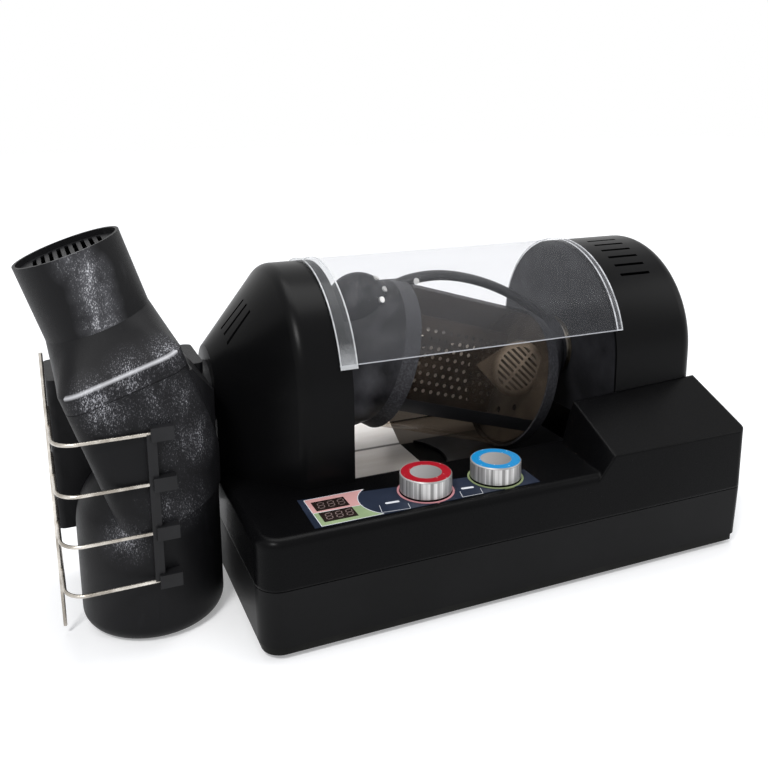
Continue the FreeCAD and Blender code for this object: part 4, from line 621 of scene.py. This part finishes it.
@dataclass(frozen=True)
class SmokedGlass(Clear):
    """The tube's glass: brown at the front, clear at the back, and darker on the back's upper half.
    """

    dark: tuple = (0.1, 0.1, 0.11)
    dark_full: float = 20.0
    dark_start: float = 13.0
    low_edge: float = -42.0
    low_full: float = -50.0
    low_strength: float = 0.45
    back_tint: tuple = (1.0, 1.0, 1.0)
    bands: tuple = (30.0, 3.0, 0.6, (0.4, 1.5, 3.0))
    band_range: tuple = (0.45, 0.62)

    def sheet(self, r: Recipe) -> Value:
        """The tinted front, the clear back and the back's darker upper half.

        Args:
            r: the recipe that the shader is part of.

        Returns:
            The see-through shader.
        """
        behind = r.axis("Y") > spot(0, TUBE_Y, 0).y
        high = r.ramp(r.tube_height(), self.dark_start * MM, self.dark_full * MM)
        clear = r.mix(behind, r.passing(self.tint), r.passing(self.back_tint))
        return r.mix(behind * high, clear, r.passing(self.dark))

    def lines(self, r: Recipe) -> Value:
        """The pale reflections along the tube's lower front.

        Args:
            r: the recipe that they are part of.

        Returns:
            How bright each place is.
        """
        ahead = r.axis("Y") < spot(0, TUBE_Y, 0).y
        low = r.ramp(r.tube_height(), self.low_edge * MM, self.low_full * MM)
        bands = r.ramp(r.noise(*self.bands), *self.band_range)
        return ahead * low * bands * self.low_strength


@dataclass(frozen=True)
class ClearCover(Clear):
    """The clear cover's sheet, with painted highlights along its front edge and along the edges
    given in mm along X.
    """

    bright: tuple = ()
    half: float = 0.4
    strength: float = 0.75
    edge_strength: float = 0.5
    low_share: float = 0.0
    fade: float = 1.6
    edge_range: tuple = (162.25, 162.7)
    low_range: tuple = (150.0, 162.0)
    uneven: tuple = (70.0, 5.0, 0.7)
    uneven_range: tuple = (0.3, 0.62)
    least: float = 0.3

    def lines(self, r: Recipe) -> Value:
        """The painted highlight lines along the front edge and across the sheet.

        Args:
            r: the recipe that the lines are part of.

        Returns:
            How bright each place is.
        """
        up, back = r.axis("Z") - spot(0, 0, HOOD_Z).z, r.axis("Y") - spot(0, HOOD_Y, 0).y
        angle = up.apply(Math.ANGLE, back)
        uneven = r.ramp(r.noise(*self.uneven), *self.uneven_range)
        uneven = uneven * (1.0 - self.least) + self.least
        edge = r.ramp(angle, *map(math.radians, self.edge_range)) * self.edge_strength
        for x in self.bright:
            away = abs(r.axis("X") - spot(x, 0, 0).x)
            line = r.ramp(away, self.half * self.fade * MM, self.half * MM)
            edge = edge | line * uneven * self.strength
        low = r.ramp(angle, *map(math.radians, self.low_range)) * uneven * self.low_share
        return edge | low


@dataclass(frozen=True)
class Split:
    """A print that has one colour left of a line and another right of it."""

    left: tuple
    right: tuple
    x: float
    rough: float = 0.5
    grain: float = 900.0
    bump: float = 0.1

    def build(self, name: str) -> bpy.types.Material:
        """Builds the material.

        Args:
            name: the material's name.

        Returns:
            The finished material.
        """
        r = paint_recipe(name)
        far = r.axis("X") > spot(self.x, 0, 0).x
        return r.finish(r.surface(Base_Color=r.blend(far, rgb(*self.left), rgb(*self.right)),
                                  Roughness=self.rough,
                                  Normal=r.bump(r.noise(self.grain), self.bump)))


@dataclass(frozen=True)
class FoldedSheet:
    """Rolled steel sheet with painted shade as a darker line along its folds."""

    base: tuple
    patch: tuple
    folds: tuple
    metal: float = 0.5
    cloud: tuple = (14.0, 5.0, 0.6, (0.5, 3.0, 3.0))
    cloud_range: tuple = (0.35, 0.65)
    fold_shade: tuple = (0.1, 0.09, 0.085)
    fold_share: float = 0.85
    fold_edge: float = 1.6
    fold_core: float = 0.7
    rough: float = 0.35
    rough_spread: float = 0.1
    grain: tuple = (400.0, 3.0, 0.5, (1.0, 6.0, 6.0))
    bump: float = 0.05

    def build(self, name: str) -> bpy.types.Material:
        """Builds the material.

        Args:
            name: the material's name.

        Returns:
            The finished material.
        """
        r = paint_recipe(name)
        cloud = r.ramp(r.noise(*self.cloud), *self.cloud_range)
        # The fold lines are painted shade in the sheet's creases.
        line = 0.0
        for y in self.folds:
            away = abs(r.axis("Y") - spot(0, y, 0).y)
            line = line | r.ramp(away, self.fold_edge * MM, self.fold_core * MM)
        rolled = r.blend(cloud, rgb(*self.base), rgb(*self.patch))
        colour = r.blend(line * self.fold_share, rolled, rgb(*self.fold_shade))
        rough = cloud * self.rough_spread + self.rough
        return r.finish(r.surface(Base_Color=colour, Roughness=rough, Metallic=self.metal,
                                  Normal=r.bump(r.noise(*self.grain), self.bump)))


class Paint(Enum):
    """Every finish of the roaster, by the name of its material."""

    SATIN = "satin_black"
    CASING = "casing_black"
    PANEL = "panel_black"
    TRAY = "tray_black"
    STRIP = "plate_dark"
    LINER = "liner_black"
    MATTE = "plain_black"
    CAP = "cap_black"
    RING = "ring_speckled"
    RUBBER = "rubber"
    SHEET = "floor_sheet"
    STEEL = "inner_steel"
    SCREEN = "screen_steel"
    BAFFLE = "baffle_steel"
    GRILLE = "grille_steel"
    CHROME = "bright_steel"
    WIRE = "wire_steel"
    BRASS = "bearing_metal"
    MOTOR = "motor_metal"
    BOARD = "board_green"
    MICA = "mica"
    WHITE = "print_white"
    PINK = "print_pink"
    GREEN = "print_green"
    DISPLAY = "display_dark"
    DIGIT = "digit_unlit"
    CUP = "cup_streaked"
    SHOULDER = "shoulder_streaked"
    NECK = "neck_streaked"
    LABEL = "label_slate"
    MARKS = "printed_marks"
    LEFT_KNOB = "knob_metal_left"
    RIGHT_KNOB = "knob_metal_right"
    RED = "ring_red"
    BLUE = "ring_blue"
    COVER = "clear_cover"
    LEFT_RIM = "frosted_rim"
    RIGHT_RIM = "bright_rim"
    GLASS = "smoked_glass"


LOOKS = {
    Paint.SATIN: Plain((0.0026, 0.0026, 0.0028), (0.0036, 0.0036, 0.0039), 0.3, 0.06, shine=0.07,
                       patch_scale=12.0, grain=1500.0, bump=0.03),
    Paint.CASING: Plain((0.0018, 0.0018, 0.002), (0.0026, 0.0026, 0.0029), 0.28, 0.06, shine=0.055,
                        patch_scale=12.0, grain=1500.0, bump=0.03, edge=2.5,
                        # Painted light: the first box paints the inner face of the bay's rear wall
                        # pale, so that the baffle's holes show bright in front of it; the second
                        # paints a thin brown strip low along the bay's back.
                        boxes=(((174, 226.0, 50), (300, 227.6, 118), (0.95, 0.92, 0.88)),
                               ((172, 178.0, 47), (300, 227.6, 48.6), (0.16, 0.14, 0.12)))),
    Paint.PANEL: Plain((0.012, 0.012, 0.0135), (0.034, 0.034, 0.038), 0.5, 0.06, shine=0.1,
                       patch_scale=26.0, patch_low=0.4, patch_high=0.75, bump=0.0),
    Paint.TRAY: Plain((0.0045, 0.0045, 0.0047), (0.0065, 0.0065, 0.0069), 0.4, 0.08, shine=0.08,
                      patch_scale=14.0, grain=1500.0, bump=0.04),
    Paint.STRIP: Plain((0.006, 0.006, 0.0055), (0.012, 0.012, 0.011), 0.5, 0.1, shine=0.1),
    Paint.LINER: Plain((0.012, 0.012, 0.013), (0.03, 0.03, 0.032), 0.45, 0.1, shine=0.2),
    Paint.MATTE: Plain((0.009, 0.009, 0.0098), (0.016, 0.016, 0.0175), 0.42, 0.12, shine=0.2),
    # The cap's two areas are a painted highlight on the front of the left cap.
    Paint.CAP: Plain((0.006, 0.006, 0.007), (0.05, 0.05, 0.056), 0.45, 0.15, shine=0.12,
                     patch_scale=38.0, patch_low=0.44, patch_high=0.82, grain=700.0, bump=0.08,
                     stretch=(1.0, 1.0, 0.6), areas=((108, 96, 138, 16, 4), (104, 98, 116, 14, 3)),
                     bright=(0.12, 0.12, 0.13)),
    Paint.RING: Plain((0.022, 0.022, 0.0245), (0.075, 0.075, 0.083), 0.5, 0.2, shine=0.2,
                      patch_scale=620.0, patch_low=0.45, patch_high=0.8, grain=800.0, bump=0.15),
    Paint.RUBBER: Plain((0.012, 0.012, 0.012), (0.025, 0.025, 0.025), 0.8, 0.1, shine=0.1),
    Paint.SHEET: FoldedSheet((0.78, 0.74, 0.7), (0.95, 0.93, 0.91), (178.0, 208.0), 0.5),
    Paint.STEEL: Plain((0.42, 0.40, 0.38), (0.55, 0.53, 0.50), 0.3, 0.15, 0.9, grain=500.0,
                       stretch=(1.0, 8.0, 8.0)),
    Paint.SCREEN: Plain((0.05, 0.045, 0.042), (0.11, 0.1, 0.09), 0.45, 0.15, 0.5, grain=500.0),
    Paint.BAFFLE: Plain((0.022, 0.017, 0.014), (0.055, 0.043, 0.036), 0.4, 0.15, 0.6, shine=0.3,
                        patch_scale=24.0, grain=500.0),
    Paint.GRILLE: Plain((0.055, 0.048, 0.043), (0.12, 0.107, 0.096), 0.35, 0.15, 0.6,
                        patch_scale=40.0, grain=500.0, areas=((245, 107, 130, 24, 17),),
                        bright=(0.36, 0.345, 0.33)),
    Paint.CHROME: Plain((0.6, 0.59, 0.57), (0.8, 0.79, 0.77), 0.3, 0.1, 0.5, patch_scale=400.0),
    Paint.WIRE: Plain((0.33, 0.3, 0.26), (0.75, 0.71, 0.65), 0.28, 0.1, 0.9, patch_scale=60.0),
    Paint.BRASS: Plain((0.07, 0.06, 0.045), (0.13, 0.11, 0.08), 0.4, 0.1, 0.8),
    Paint.MOTOR: Plain((0.3, 0.3, 0.32), (0.4, 0.4, 0.42), 0.4, 0.1, 0.7),
    Paint.BOARD: Plain((0.01, 0.08, 0.03), (0.02, 0.14, 0.05), 0.5, 0.1),
    Paint.MICA: Plain((0.5, 0.45, 0.36), (0.62, 0.56, 0.45), 0.6, 0.1),
    Paint.WHITE: Plain((0.55, 0.57, 0.6), (0.7, 0.71, 0.74), 0.5, 0.1),
    Paint.PINK: Plain((0.5, 0.27, 0.26), (0.6, 0.36, 0.34), 0.5, 0.1),
    Paint.GREEN: Plain((0.2, 0.27, 0.14), (0.28, 0.36, 0.19), 0.5, 0.1),
    Paint.DISPLAY: Plain((0.012, 0.007, 0.006), (0.02, 0.013, 0.011), 0.25, 0.05),
    Paint.DIGIT: Plain((0.12, 0.085, 0.08), (0.2, 0.15, 0.14), 0.4, 0.1),
    # The collector's areas are painted highlights where light falls on the cup, shoulder and neck.
    Paint.CUP: Streaked(areas=((-36, 51, 152, 30, 8), (-27, 54, 132, 30, 6), (-44, 51, 166, 20, 6),
                               (-78, 51, 158, 22, 5), (-36, 55, 92, 26, 3), (-72, 58, 70, 22, 3))),
    Paint.SHOULDER: Streaked(areas=((-84, 51, 167, 22, 6), (-60, 51, 178, 24, 6),
                                    (-38, 54, 190, 22, 4)), ridge=True),
    Paint.NECK: Streaked(areas=((-75, 66, 210, 17, 4), (-76, 67, 220, 17, 4), (-78, 67, 230, 17, 4),
                                (-80, 68, 240, 17, 4), (-88, 70, 249, 17, 2)), spread=0.12,
                         sheen=(0.13, 0.13, 0.14), pale=(0.85, 0.85, 0.88)),
    Paint.LABEL: Plain((0.011, 0.016, 0.03), (0.019, 0.026, 0.046), 0.34, 0.08, shine=0.25,
                       patch_scale=40.0, grain=1200.0, bump=0.05),
    Paint.MARKS: Split((0.5, 0.22, 0.24), (0.22, 0.27, 0.13), 152.0),
    Paint.LEFT_KNOB: Turned(124.3),
    Paint.RIGHT_KNOB: Turned(179.0),
    Paint.RED: Flecked((0.33, 0.003, 0.013), (0.62, 0.3, 0.3)),
    Paint.BLUE: Flecked((0.004, 0.22, 0.5), (0.5, 0.75, 0.9)),
    # The cover and both rims carry painted highlight lines along their edges.
    Paint.COVER: ClearCover((0.955, 0.955, 0.957), 0.032, (0.55, 0.56, 0.59), 0.2),
    Paint.LEFT_RIM: ClearCover((0.94, 0.945, 0.945), 0.03, (0.7, 0.71, 0.72), 0.14,
                               bright=(77.1, 89.1), low_share=0.3),
    Paint.RIGHT_RIM: ClearCover((0.97, 0.97, 0.975), 0.04, (0.8, 0.81, 0.83), 0.2,
                                bright=(307.9, 312.4)),
    Paint.GLASS: SmokedGlass((0.88, 0.835, 0.78), 0.02, (0.42, 0.37, 0.33), 0.24),
}


def paint_all() -> dict:
    """Builds every finish.

    Returns:
        The materials by their paint.
    """
    return {paint: look.build(paint.value) for paint, look in LOOKS.items()}


@dataclass
class SubAssembly:
    """A group of the CAD nodes with their finishes, and the pieces that are added to them."""

    paints: dict
    dressed: dict = field(default_factory=dict)

    def dress(self) -> list:
        """Gives each CAD node its material.

        Returns:
            The names of the nodes.
        """
        done = []
        for paint, nodes in self.dressed.items():
            for name in nodes.split():
                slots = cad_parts[name].data.materials
                slots.clear()
                slots.append(self.paints[paint])
                done.append(name)
        return done

    def add(self) -> list:
        """Builds the pieces that the CAD leaves to the looks; most groups have none."""
        return []

    def build(self) -> None:
        """Dresses the nodes, adds the pieces and reports them."""
        for name in self.dress():
            log.info("%s: dressed %s", type(self).__name__, name)
        for name in self.add():
            log.info("%s: added %s", type(self).__name__, name)


@dataclass
class Casing(SubAssembly):
    """The base, the tray, the upper casing, both housings and the bay between them."""

    dressed: dict = field(default_factory=lambda: {
        Paint.CASING: "upper_casing",
        Paint.SATIN: "left_housing right_housing hinge_brackets cord_gland",
        Paint.PANEL: "bulkheads",
        Paint.TRAY: "base_tray",
        Paint.STRIP: "base_plate",
        Paint.LINER: "bay_liner",
        Paint.RUBBER: "feet",
        Paint.SHEET: "chamber_floor_plate",
        Paint.CHROME: "casing_screws",
        Paint.BRASS: "chamber_bearings",
    })


@dataclass
class Works(SubAssembly):
    """The drive, the blower, the heater, the outlet and the board inside the machine."""

    dressed: dict = field(default_factory=lambda: {
        Paint.MOTOR: "drive_motor fan_motor",
        Paint.STEEL: "heater_tube motor_pinion",
        Paint.CHROME: "heater_coil",
        Paint.MICA: "heater_core",
        Paint.MATTE: "hot_air_duct blower_housing fan_impeller outlet_duct",
        Paint.BOARD: "circuit_board",
        Paint.SATIN: "encoders",
    })


@dataclass
class Chamber(SubAssembly):
    """The turning chamber: glass, caps, rings, handle and the plates in it."""

    dressed: dict = field(default_factory=lambda: {
        Paint.GLASS: "glass_tube",
        Paint.CAP: "left_cap right_cap",
        Paint.RING: "tube_rings",
        Paint.MATTE: "chamber_handle dark_band",
        Paint.CHROME: "chamber_screws",
        Paint.BAFFLE: "mixing_baffle",
        Paint.GRILLE: "grille_plate",
        Paint.SCREEN: "end_screens",
        Paint.STEEL: "drive_hub drive_gear",
    })


@dataclass
class Cover(SubAssembly):
    """The clear cover over the chamber."""

    dressed: dict = field(default_factory=lambda: {
        Paint.COVER: "cover_shell cover_knuckles",
        Paint.LEFT_RIM: "cover_rim_left",
        Paint.RIGHT_RIM: "cover_rim_right",
    })


@dataclass
class Knobs(SubAssembly):
    """The two turning knobs with their rings and shafts."""

    dressed: dict = field(default_factory=lambda: {
        Paint.LEFT_KNOB: "knob_left",
        Paint.RIGHT_KNOB: "knob_right",
        Paint.RED: "knob_ring_left",
        Paint.BLUE: "knob_ring_right",
        Paint.MARKS: "knob_marks",
        Paint.STEEL: "knob_shaft_left knob_shaft_right",
    })


@dataclass
class Collector(SubAssembly):
    """The chaff collector with its wire guard and its leaning top."""

    dressed: dict = field(default_factory=lambda: {
        Paint.CUP: "collector_left collector_right inlet_box",
        Paint.SHOULDER: "shoulder_cap",
        Paint.NECK: "exhaust_neck neck_screen",
        Paint.RUBBER: "inlet_gasket",
        Paint.WIRE: "wire_guard",
        Paint.MATTE: "guard_clips",
    })


@dataclass
class Print:
    """One printed piece: flat shapes with a little thickness, riding on the machine."""

    name: str
    material: bpy.types.Material
    low: float = 79.92
    thick: float = 0.06
    corner_steps: int = 6
    field_steps: int = 16
    arc_steps: int = 20
    weld: float = 1e-7
    mesh: bmesh.types.BMesh = field(default_factory=bmesh.new)

    def bar(self, start: tuple, end: tuple, width: float, turn: float = 0.0) -> "Print":
        """Adds a straight bar between two points in mm.

        Args:
            start: one end of its middle line.
            end: the other end.
            width: its width.
            turn: the radius of its rounded corners, or nothing.

        Returns:
            This piece.
        """
        a, b = Vector(start), Vector(end)
        along = b - a
        middle = spot(*((a + b) / 2), self.low + self.thick / 2)
        matrix = (Matrix.Translation(middle) @ Matrix.Rotation(math.atan2(along.y, along.x), 4, "Z")
                  @ Matrix.Diagonal((along.length * MM, width * MM, self.thick * MM, 1.0)))
        made = bmesh.ops.create_cube(self.mesh, size=1.0, matrix=matrix)
        if turn:
            corners = {edge for vert in made["verts"] for edge in vert.link_edges
                       if abs(edge.verts[0].co.z - edge.verts[1].co.z) > self.thick * MM / 2}
            bmesh.ops.bevel(self.mesh, geom=list(corners), offset=turn * MM, offset_type="OFFSET",
                            segments=self.corner_steps, profile=0.5, affect="EDGES",
                            material=-1)
        return self

    def field(self, corners: list, middle: tuple, radius: float, first: float,
              last: float) -> "Print":
        """Adds a flat field whose last side is an arc.

        Args:
            corners: the straight corners in mm, going round to the arc's first point.
            middle: the arc's middle.
            radius: the arc's radius.
            first: the angle where the arc starts, in degrees.
            last: the angle where it ends.

        Returns:
            This piece.
        """
        verts = [self.mesh.verts.new(spot(x, y, self.low)) for x, y in corners]
        edges = [self.mesh.edges.new(pair) for pair in zip(verts, verts[1:])]
        angle = math.radians(first)
        start = self.mesh.verts.new(spot(middle[0] + radius * math.cos(angle),
                                         middle[1] + radius * math.sin(angle), self.low))
        edges.append(self.mesh.edges.new((verts[-1], start)))
        swept = bmesh.ops.spin(self.mesh, geom=[start], cent=spot(*middle, self.low),
                               axis=(0.0, 0.0, 1.0), angle=math.radians(last - first),
                               steps=self.field_steps, use_merge=False, use_duplicate=False)
        end = [part for part in swept["geom_last"] if isinstance(part, bmesh.types.BMVert)][0]
        self.mesh.edges.new((end, verts[0]))
        loose = [edge for edge in self.mesh.edges if not edge.link_faces]
        made = bmesh.ops.contextual_create(self.mesh, geom=loose)
        lifted = bmesh.ops.extrude_face_region(self.mesh, geom=made["faces"])
        tops = [part for part in lifted["geom"] if isinstance(part, bmesh.types.BMVert)]
        bmesh.ops.translate(self.mesh, verts=tops, vec=(0.0, 0.0, self.thick * MM))
        return self

    def arc(self, middle: tuple, radius: float, first: float, last: float, width: float) -> "Print":
        """Adds a curved bar along an arc.

        Args:
            middle: the arc's middle in mm.
            radius: its radius.
            first: the angle where it starts, in degrees.
            last: the angle where it ends.
            width: its width.

        Returns:
            This piece.
        """
        angle = math.radians(first)
        out = Vector((math.cos(angle), math.sin(angle)))
        corners = []
        for reach, level in ((-0.5, 0.0), (0.5, 0.0), (0.5, 1.0), (-0.5, 1.0)):
            flat = Vector(middle) + out * (radius + width * reach)
            corners.append(self.mesh.verts.new(spot(*flat, self.low + self.thick * level)))
        face = self.mesh.faces.new(corners)
        bmesh.ops.spin(self.mesh, geom=[face], cent=spot(*middle, self.low), axis=(0.0, 0.0, 1.0),
                       angle=math.radians(last - first), steps=self.arc_steps,
                       use_merge=False, use_duplicate=False)
        return self

    def finish(self) -> str:
        """Turns the mesh into an object that rides on the machine.

        Returns:
            The piece's name.
        """
        bmesh.ops.remove_doubles(self.mesh, verts=self.mesh.verts, dist=self.weld)
        bmesh.ops.recalc_face_normals(self.mesh, faces=self.mesh.faces)
        data = bpy.data.meshes.new(self.name)
        self.mesh.to_mesh(data)
        self.mesh.free()
        made = bpy.data.objects.new(self.name, data)
        bpy.context.scene.collection.objects.link(made)
        data.materials.append(self.material)
        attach(made, Body.MACHINE.value)
        return self.name


@dataclass
class Panel(SubAssembly):
    """The control label: coloured fields, borders, unlit digits and plain marks."""

    dressed: dict = field(default_factory=lambda: {
        Paint.LABEL: "control_label",
        Paint.DISPLAY: "display_windows",
    })
    left: float = 42.5
    back_left: float = 42.8
    front: float = 7.6
    back: float = 46.2
    split: float = 26.0
    arc_middle: tuple = (99.7, 26.7)
    arc_radius: float = 24.0
    arc_top: float = 125.6
    arc_split: float = 184.0
    arc_end: float = 232.2
    line: float = 0.5
    raised: float = 79.97
    pill_ends: tuple = (((91.2, 20.6), (101.2, 19.9)), ((147.6, 19.9), (156.9, 18.9)))
    pill_wide: float = 2.4
    pill_turn: float = 1.1
    frame_corners: tuple = (((86.6, 19.5), (84.3, 9.6), (103.8, 7.6), (105.1, 14.5)),
                            ((144.8, 16.3), (142.6, 8.2), (158.0, 7.8), (160.0, 15.3)))
    frame_line: float = 0.3
    lower_window: float = 12.0
    upper_window: float = 28.0
    digit_level: float = 80.21
    digit_count: int = 3
    flat_strokes: int = 3
    digit_left: float = 48.6
    digit_pitch: float = 7.0
    digit_rise: float = 2.6
    digit_wide: float = 4.0
    digit_tall: float = 3.9
    digit_slant: float = 0.5
    stroke: float = 0.8
    flat_gap: float = 0.5
    upright_gap: float = 0.6

    def add(self) -> list:
        """Builds every printed piece of the panel.

        Returns:
            The names of the pieces.
        """
        return [self.upper_field(), self.lower_field(), self.border(), self.pills(), self.frames(),
                self.digits("digits_lower", self.lower_window),
                self.digits("digits_upper", self.upper_window)]

    def upper_field(self) -> str:
        """The pink field behind the upper window.

        Returns:
            The piece's name.
        """
        piece = Print("print_field_upper", self.paints[Paint.PINK])
        piece.field([(self.left, self.split), (self.back_left, self.back)], self.arc_middle,
                    self.arc_radius, self.arc_top, self.arc_split)
        return piece.finish()

    def lower_field(self) -> str:
        """The green field behind the lower window.

        Returns:
            The piece's name.
        """
        piece = Print("print_field_lower", self.paints[Paint.GREEN])
        piece.field([(self.left, self.front), (self.left, self.split)], self.arc_middle,
                    self.arc_radius, self.arc_split, self.arc_end)
        return piece.finish()

    def border(self) -> str:
        """The white line round both fields and between them.

        Returns:
            The piece's name.
        """
        piece = Print("print_border", self.paints[Paint.WHITE], low=self.raised)
        ends = []
        for angle in (self.arc_top, self.arc_split, self.arc_end):
            turn = math.radians(angle)
            ends.append((self.arc_middle[0] + self.arc_radius * math.cos(turn),
                         self.arc_middle[1] + self.arc_radius * math.sin(turn)))
        corners = [ends[2], (self.left, self.front), (self.back_left, self.back), ends[0]]
        for start, end in zip(corners, corners[1:]):
            piece.bar(start, end, self.line)
        piece.bar((self.left, self.split), ends[1], self.line)
        piece.arc(self.arc_middle, self.arc_radius, self.arc_top, self.arc_end, self.line)
        return piece.finish()

    def pills(self) -> str:
        """A small white pill beside each knob.

        Returns:
            The piece's name.
        """
        piece = Print("print_pills", self.paints[Paint.WHITE], low=self.raised)
        for start, end in self.pill_ends:
            piece.bar(start, end, self.pill_wide, self.pill_turn)
        return piece.finish()

    def frames(self) -> str:
        """The thin open frame under each pill.

        Returns:
            The piece's name.
        """
        piece = Print("print_frames", self.paints[Paint.WHITE], low=self.raised)
        for corners in self.frame_corners:
            for start, end in zip(corners, corners[1:]):
                piece.bar(start, end, self.frame_line)
        return piece.finish()

    def digits(self, name: str, low: float) -> str:
        """Three unlit seven-segment digits in one window.

        Args:
            name: the piece's name.
            low: the window's front edge, in mm.

        Returns:
            The piece's name.
        """
        piece = Print(name, self.paints[Paint.DIGIT], low=self.digit_level)
        slant, tall, gap = self.digit_slant, self.digit_tall, self.upright_gap
        for i in range(self.digit_count):
            x, y = self.digit_left + self.digit_pitch * i, low + self.digit_rise
            for row in range(self.flat_strokes):
                start, level = x + slant * row + self.flat_gap, y + tall * row
                end = x + slant * row + self.digit_wide - self.flat_gap
                piece.bar((start, level), (end, level), self.stroke)
            for row in range(self.flat_strokes - 1):
                for side in (0.0, self.digit_wide):
                    start = (x + side + slant * row, y + tall * row + gap)
                    piece.bar(start, (start[0] + slant, start[1] + tall - 2 * gap), self.stroke)
        return piece.finish()


@dataclass(frozen=True)
class Light:
    """One soft area light."""

    name: str
    place: tuple
    aim: tuple
    size: tuple
    power: float

    def build(self) -> None:
        """Places the light and turns it to its aim."""
        data = bpy.data.lights.new(self.name, "AREA")
        data.shape = "RECTANGLE"
        data.size, data.size_y = self.size
        data.energy = self.power
        lamp = bpy.data.objects.new(self.name, data)
        lamp.location = self.place
        lamp.rotation_mode = "QUATERNION"
        lamp.rotation_quaternion = (Vector(self.aim) - Vector(self.place)).to_track_quat("-Z", "Y")
        bpy.context.scene.collection.objects.link(lamp)


@dataclass
class Studio:
    """The white studio: floor, world, lights and camera."""

    lights: tuple = (
        Light("key", (-0.9, -0.9, 1.5), (0.0, 0.0, 0.1), (0.4, 0.4), 20.0),
        Light("top", (0.1, 0.2, 1.6), (0.0, 0.0, 0.1), (1.2, 0.8), 14.0),
        Light("right", (1.3, -0.6, 0.9), (0.1, 0.0, 0.1), (0.7, 0.9), 4.5),
    )
    floor_half: float = 6.0
    floor_tone: tuple = (0.8, 0.8, 0.8)
    floor_rough: float = 0.9
    floor_glow: float = 0.3
    far_glow: float = 0.68
    glow_near: float = 0.5
    glow_far: float = 1.6
    sky_tone: tuple = (0.9, 0.93, 1.0)
    sky_strength: float = 0.45
    focal: float = 857.07
    frame_size: float = 768.0
    centre_row: float = 284.6
    turn: float = -0.401
    lift: float = 0.210
    roll: float = -0.006
    eye: tuple = (-113.75, -462.95, 340.2)
    sensor: float = 36.0
    nearest: float = 0.01
    farthest: float = 50.0

    def build(self) -> None:
        """Builds the whole studio."""
        self.floor()
        self.world()
        for light in self.lights:
            light.build()
            log.info("Studio: light %s", light.name)
        self.camera()

    def backdrop_seen(self, r: Recipe) -> Value:
        """1 for the rays that should meet plain white: straight, mirrored or through glass.

        Args:
            r: the recipe that asks.

        Returns:
            The mask.
        """
        straight = r.make("ShaderNodeLightPath", out="Is Camera Ray")
        mirrored = r.make("ShaderNodeLightPath", out="Is Glossy Ray")
        through = r.make("ShaderNodeLightPath", out="Is Transmission Ray")
        return straight | mirrored | through

    def floor(self) -> None:
        """A pale floor that reads as plain white and keeps the object's shadow."""
        mesh = bmesh.new()
        bmesh.ops.create_grid(mesh, x_segments=1, y_segments=1, size=self.floor_half)
        data = bpy.data.meshes.new("floor")
        mesh.to_mesh(data)
        mesh.free()
        floor = bpy.data.objects.new("floor", data)
        bpy.context.scene.collection.objects.link(floor)
        r = paint_recipe("floor_white")
        near = r.near(Vector(), self.glow_far, self.glow_near)
        level = self.far_glow - near * (self.far_glow - self.floor_glow)
        glow = self.backdrop_seen(r) * level
        white = r.surface(Base_Color=rgb(*self.floor_tone), Roughness=self.floor_rough,
                          Specular_IOR_Level=0.0, Emission_Color=glow, Emission_Strength=1.0)
        data.materials.append(r.finish(white))
        log.info("Studio: floor")

    def world(self) -> None:
        """A white backdrop for the camera and a soft grey light for the object."""
        r = Recipe(bpy.data.worlds.new("studio"))
        seen = r.make("ShaderNodeBackground", Color=rgb(1.0, 1.0, 1.0), Strength=1.0)
        soft = r.make("ShaderNodeBackground", Color=rgb(*self.sky_tone),
                      Strength=self.sky_strength)
        bpy.context.scene.world = r.finish(r.mix(self.backdrop_seen(r), soft, seen))
        log.info("Studio: world")

    def camera(self) -> None:
        """The camera at the angle and distance of the photo."""
        back = Vector((math.sin(self.turn) * math.cos(self.lift),
                       -math.cos(self.turn) * math.cos(self.lift), math.sin(self.lift)))
        right = (-back).cross(Vector((0.0, 0.0, 1.0))).normalized()
        up = right.cross(-back)
        side = right * math.cos(self.roll) + up * math.sin(self.roll)
        top = up * math.cos(self.roll) - right * math.sin(self.roll)
        data = bpy.data.cameras.new("camera")
        data.sensor_width = self.sensor
        data.lens = self.focal * data.sensor_width / self.frame_size
        data.shift_y = self.centre_row / self.frame_size - 0.5
        data.clip_start, data.clip_end = self.nearest, self.farthest
        camera = bpy.data.objects.new("camera", data)
        turned = Matrix((side, top, back)).transposed().to_4x4()
        camera.matrix_world = Matrix.Translation(spot(*self.eye)) @ turned
        bpy.context.scene.collection.objects.link(camera)
        bpy.context.scene.camera = camera
        bpy.context.scene.view_settings.view_transform = "Standard"
        log.info("Studio: camera")


def main() -> None:
    """Builds the looks of every sub-assembly, the studio and the camera."""
    logging.basicConfig(level=logging.INFO)
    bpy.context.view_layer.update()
    paints = paint_all()
    for kind in (Casing, Works, Chamber, Cover, Panel, Knobs, Collector):
        kind(paints).build()
    Studio().build()
    log.info("dressed %d nodes", len(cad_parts))


if __name__ == "__main__":
    main()
